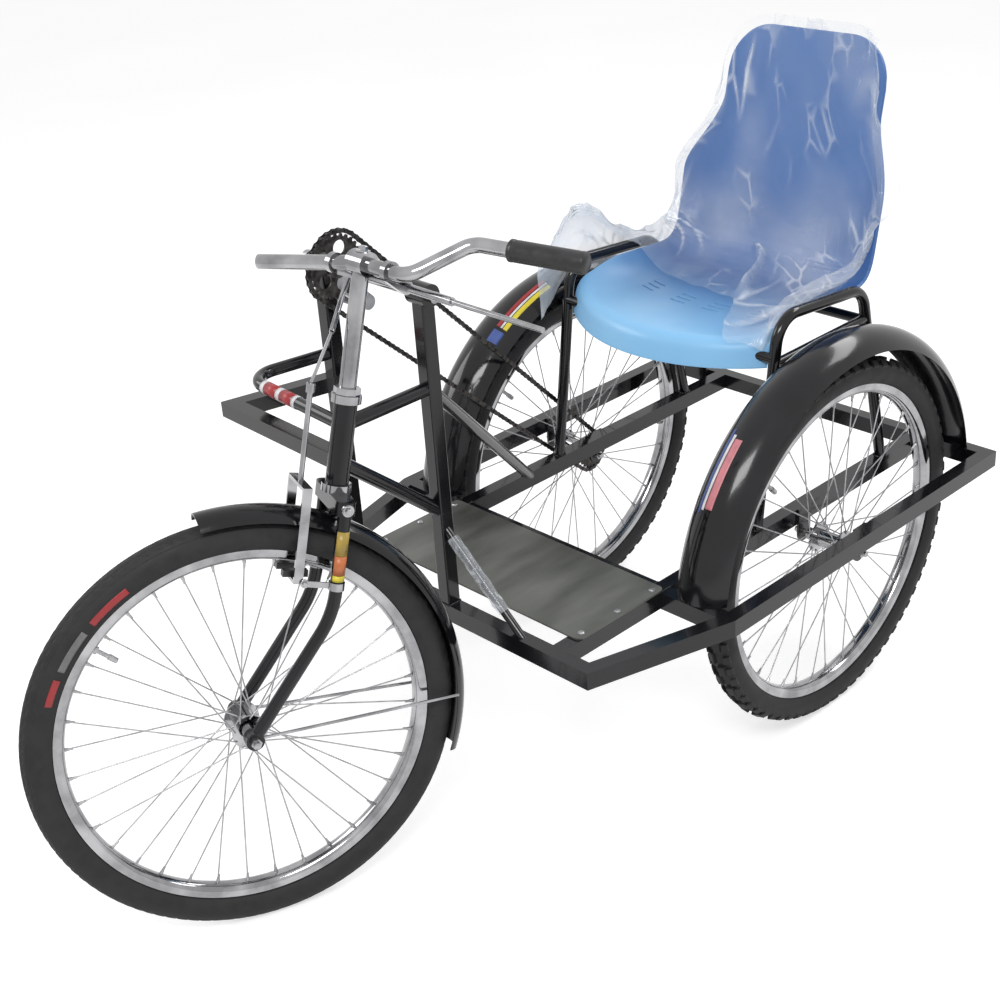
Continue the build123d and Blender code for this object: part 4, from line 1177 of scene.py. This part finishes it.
# Fork fittings, in metres: up from the crown, forward of the head's axis and out to the side
GUIDE_UPS = (-0.136, -0.124)
GUIDE_WALL = 0.0022
GUIDE_ARM_UPS = (-0.1345, -0.1255)
GUIDE_ARM = ((0.008, BLADE_X + 0.0015), (0.050, 0.0425), (0.050, 0.0398), (0.008, BLADE_X - 0.0015))
GUIDE_BOLT = (-0.130, 0.046, 0.042)
GUIDE_BOLT_R = 0.0042
CROWN_END = (-0.011, 0.0, 0.0618)
CROWN_RING_T = 0.003
CROWN_RING_R = (0.0098, 0.0090)
CROWN_BOLT_R = 0.0052
CLAMP_BOLT_R = 0.0068
CLAMP_BOLT_SUNK = 0.001
PINCH_BOLT = (0.0168, 0.011, -0.010)
PINCH_BOLT_R = 0.0040
ROUND_SIDES = 28


def make_fork_fittings():
    """Brake guides on the blades, the crown's bolts and rings, and the clamp's bolts."""
    shape = ([], [])
    for side in (1, -1):
        outward = FORK_SIDE * side
        low, high = [steer_point(up, 0.0, side * BLADE_X) for up in GUIDE_UPS]
        tube_between(shape, low, high, BLADE_R + GUIDE_WALL, BLADE_R + GUIDE_WALL, ROUND_SIDES)
        arm = [[steer_point(up, ahead, side * out) for ahead, out in GUIDE_ARM] for up in GUIDE_ARM_UPS]
        add_block(shape, arm)
        up, ahead, out = GUIDE_BOLT
        add_bolt(shape, steer_point(up, ahead, side * out), outward, GUIDE_BOLT_R)
        up, ahead, out = CROWN_END
        inner = steer_point(up, ahead, side * out)
        outer = inner + outward * CROWN_RING_T
        tube_between(shape, inner, outer, *CROWN_RING_R, ROUND_SIDES)
        add_bolt(shape, outer, outward, CROWN_BOLT_R)
    clamp = steer_point(CLAMP_UP, 0.0, 0.0)
    add_bolt(shape, clamp + HEAD_UP * (CLAMP_R - CLAMP_BOLT_SUNK), HEAD_UP, CLAMP_BOLT_R)
    add_bolt(shape, clamp + Vector(PINCH_BOLT), RIGHT, PINCH_BOLT_R)
    fittings = add_mesh("fork_fittings", *shape, CHROME, crease=30.0)
    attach(fittings, "steering")


BOARD_SCREW_YS = (-0.552, -0.469, -0.386)
SCREW_SUNK = 0.0006

# Screw head columns: from and to above its seat, radius at each, sides
SCREW_HEAD = (
    (0.0, 0.0014, 0.0058, 0.0056, 20),
    (0.0013, 0.003, 0.0054, 0.0032, 20),
)


def make_screws():
    """Screws that hold the footboard to the inner rails."""
    shape = ([], [])
    for y in BOARD_SCREW_YS:
        for side in (1, -1):
            add_stack(shape, drawn(side * INNER_X, y, BOARD_TOP - SCREW_SUNK), UP, SCREW_HEAD)
    screws = add_mesh("board_screws", *shape, ZINC, crease=30.0)
    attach(screws, "frame")


# Weld ripples: their pitch and half length in metres, how they taper, and how uneven they are
RIPPLE_PITCH = 0.0028
RIPPLE_HALF = 0.0022
RIPPLE_END = 0.55
RIPPLE_UNEVEN = 0.18
RIPPLE_GRAIN = 400.0
RIPPLE_SIDES = 7


def bead(shape, points, radius):
    """Adds a row of overlapping weld ripples along a line of points."""
    for a, b in zip(points, points[1:]):
        steps = max(int((b - a).length / RIPPLE_PITCH), 1)
        axis = (b - a).normalized()
        for k in range(steps):
            spot = a.lerp(b, (k + 0.5) / steps)
            size = radius * (1.0 + RIPPLE_UNEVEN * noise.noise(spot * RIPPLE_GRAIN))
            add_stack(shape, spot, axis, (
                (-RIPPLE_HALF, 0.0, size * RIPPLE_END, size, RIPPLE_SIDES),
                (0.0, RIPPLE_HALF, size, size * RIPPLE_END, RIPPLE_SIDES),
            ))


def square_loop(x, y, z, half):
    """The corners of a level square, closed."""
    return [drawn(x + i * half, y + j * half, z) for i, j in ((1, 1), (-1, 1), (-1, -1), (1, -1), (1, 1))]


ARM_FEET_Y = (-0.115, 0.250)
ARM_FOOT_R = 0.0104
ARM_FOOT_POINTS = 18
CROSS_Y = -0.368
CROSS_WELD_HALF = 0.012
FOOT_WELD_R = 0.0022
CROSS_WELD_R = 0.0018


def make_welds():
    """Welds round the feet of the posts and armrests, and along the inner rails at the cross member."""
    shape = ([], [])
    for x in (0.0, -INNER_X):
        bead(shape, square_loop(x, FRONT_Y, RAIL_TOP, POST_W / 2), FOOT_WELD_R)
    for side in (1, -1):
        for y in ARM_FEET_Y:
            ring = circle(drawn(side * INNER_X, y, RAIL_TOP), UP, ARM_FOOT_R, ARM_FOOT_POINTS)
            bead(shape, ring + ring[:1], FOOT_WELD_R)
        for edge in (-1, 1):
            x = side * INNER_X + edge * POST_W / 2
            ends = [drawn(x, CROSS_Y + end * CROSS_WELD_HALF, RAIL_TOP) for end in (-1, 1)]
            bead(shape, ends, CROSS_WELD_R)
    welds = add_mesh("weld_beads", *shape, PAINT, crease=60.0)
    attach(welds, "frame")


# Floor, light and camera

# Strengths: what the floor adds where it is seen, what the room gives the object, and how bright it looks
FLOOR_GLOW = 0.60
ROOM_LIGHT = 0.55
ROOM_SEEN = 1.0
FLOOR_REACH = 40.0
FLOOR_DROP = 0.0005
LAMP_AIM = Vector((0.0, 0.0, 0.5))


def seen_directly(tree):
    """1 for rays of the camera, of mirrors and of clear things, and 0 for light that falls on the object."""
    paths = tree.nodes.new("ShaderNodeLightPath")
    total = paths.outputs["Is Camera Ray"]
    for kind in ("Is Glossy Ray", "Is Transmission Ray"):
        add = tree.nodes.new("ShaderNodeMath")
        add.operation = "ADD"
        add.use_clamp = True
        tree.links.new(total, add.inputs[0])
        tree.links.new(paths.outputs[kind], add.inputs[1])
        total = add.outputs["Value"]
    return total


def make_stage():
    """A pale floor that keeps the shadow and is near white where it is seen."""
    material, tree, shader = new_material("studio_floor")
    put(shader, {"Roughness": 0.9, "Specular IOR Level": 0.0, "Emission Color": (1.0, 1.0, 1.0, 1.0)})
    tone = colour_between(tree, noise_factor(tree, 1.5), (0.62, 0.62, 0.62), (0.64, 0.64, 0.64))
    tree.links.new(tone, shader.inputs["Base Color"])
    tree.links.new(mapped(tree, seen_directly(tree), 0.0, FLOOR_GLOW), shader.inputs["Emission Strength"])
    corners = ((-1, -1), (1, -1), (1, 1), (-1, 1))
    verts = [(i * FLOOR_REACH, j * FLOOR_REACH, -FLOOR_DROP) for i, j in corners]
    floor = add_mesh("floor", verts, [(0, 1, 2, 3)], material)


def make_world():
    """An even pale room, which lights the object less than it looks."""
    world = bpy.data.worlds.new("studio")
    world.use_nodes = True
    tree = world.node_tree
    tree.nodes.clear()
    out = tree.nodes.new("ShaderNodeOutputWorld")
    light = tree.nodes.new("ShaderNodeBackground")
    put(light, {"Color": (1.0, 1.0, 1.0, 1.0)})
    tree.links.new(mapped(tree, seen_directly(tree), ROOM_LIGHT, ROOM_SEEN), light.inputs["Strength"])
    tree.links.new(light.outputs["Background"], out.inputs["Surface"])
    scene.world = world


# Lamp columns: name, place from the middle of the tricycle, size, watts
LAMPS = [
    ("key", (1.6, -1.8, 3.0), (1.6, 0.9), 62.0),
    ("fill", (-2.6, -1.4, 2.2), (1.6, 1.2), 26.0),
    ("back", (0.6, 2.6, 2.8), (2.4, 0.8), 42.0),
]


def make_lamps():
    for name, at, size, watts in LAMPS:
        data = bpy.data.lights.new(name, "AREA")
        data.shape = "RECTANGLE"
        data.size = size[0]
        data.size_y = size[1]
        data.energy = watts
        lamp = bpy.data.objects.new(name, data)
        lamp.location = at
        lamp.rotation_mode = "QUATERNION"
        lamp.rotation_quaternion = (LAMP_AIM - Vector(at)).to_track_quat("-Z", "Y")
        scene.collection.objects.link(lamp)


def make_camera():
    azimuth = radians(CAMERA_AZIMUTH)
    elevation = radians(CAMERA_ELEVATION)
    roll = radians(CAMERA_ROLL)
    back = Vector((
        sin(azimuth) * cos(elevation),
        -cos(azimuth) * cos(elevation),
        sin(elevation)))
    level = Vector((cos(azimuth), sin(azimuth), 0.0))
    upright = back.cross(level)
    right = level * cos(roll) + upright * sin(roll)
    up = upright * cos(roll) - level * sin(roll)
    turn = Matrix((right, up, back)).transposed()
    data = bpy.data.cameras.new("camera")
    data.lens = CAMERA_LENS
    data.sensor_width = SENSOR_WIDTH
    camera = bpy.data.objects.new("camera", data)
    camera.matrix_world = Matrix.Translation(DRAWN_ORIGIN + Vector(CAMERA_AT)) @ turn.to_4x4()
    scene.collection.objects.link(camera)
    scene.camera = camera


scene.view_settings.view_transform = "Standard"
dress_frame()
dress_wheels()
print_tyre()
make_chain()
seat_points = seat_grid(SEAT_COLUMNS, SEAT_ROWS)
make_seat(seat_points)
make_film(seat_points)
make_wrap()
stripe_guards()
stripe_bars()
make_grip()
make_fork_fittings()
make_screws()
make_welds()
make_stage()
make_world()
make_lamps()
make_camera()
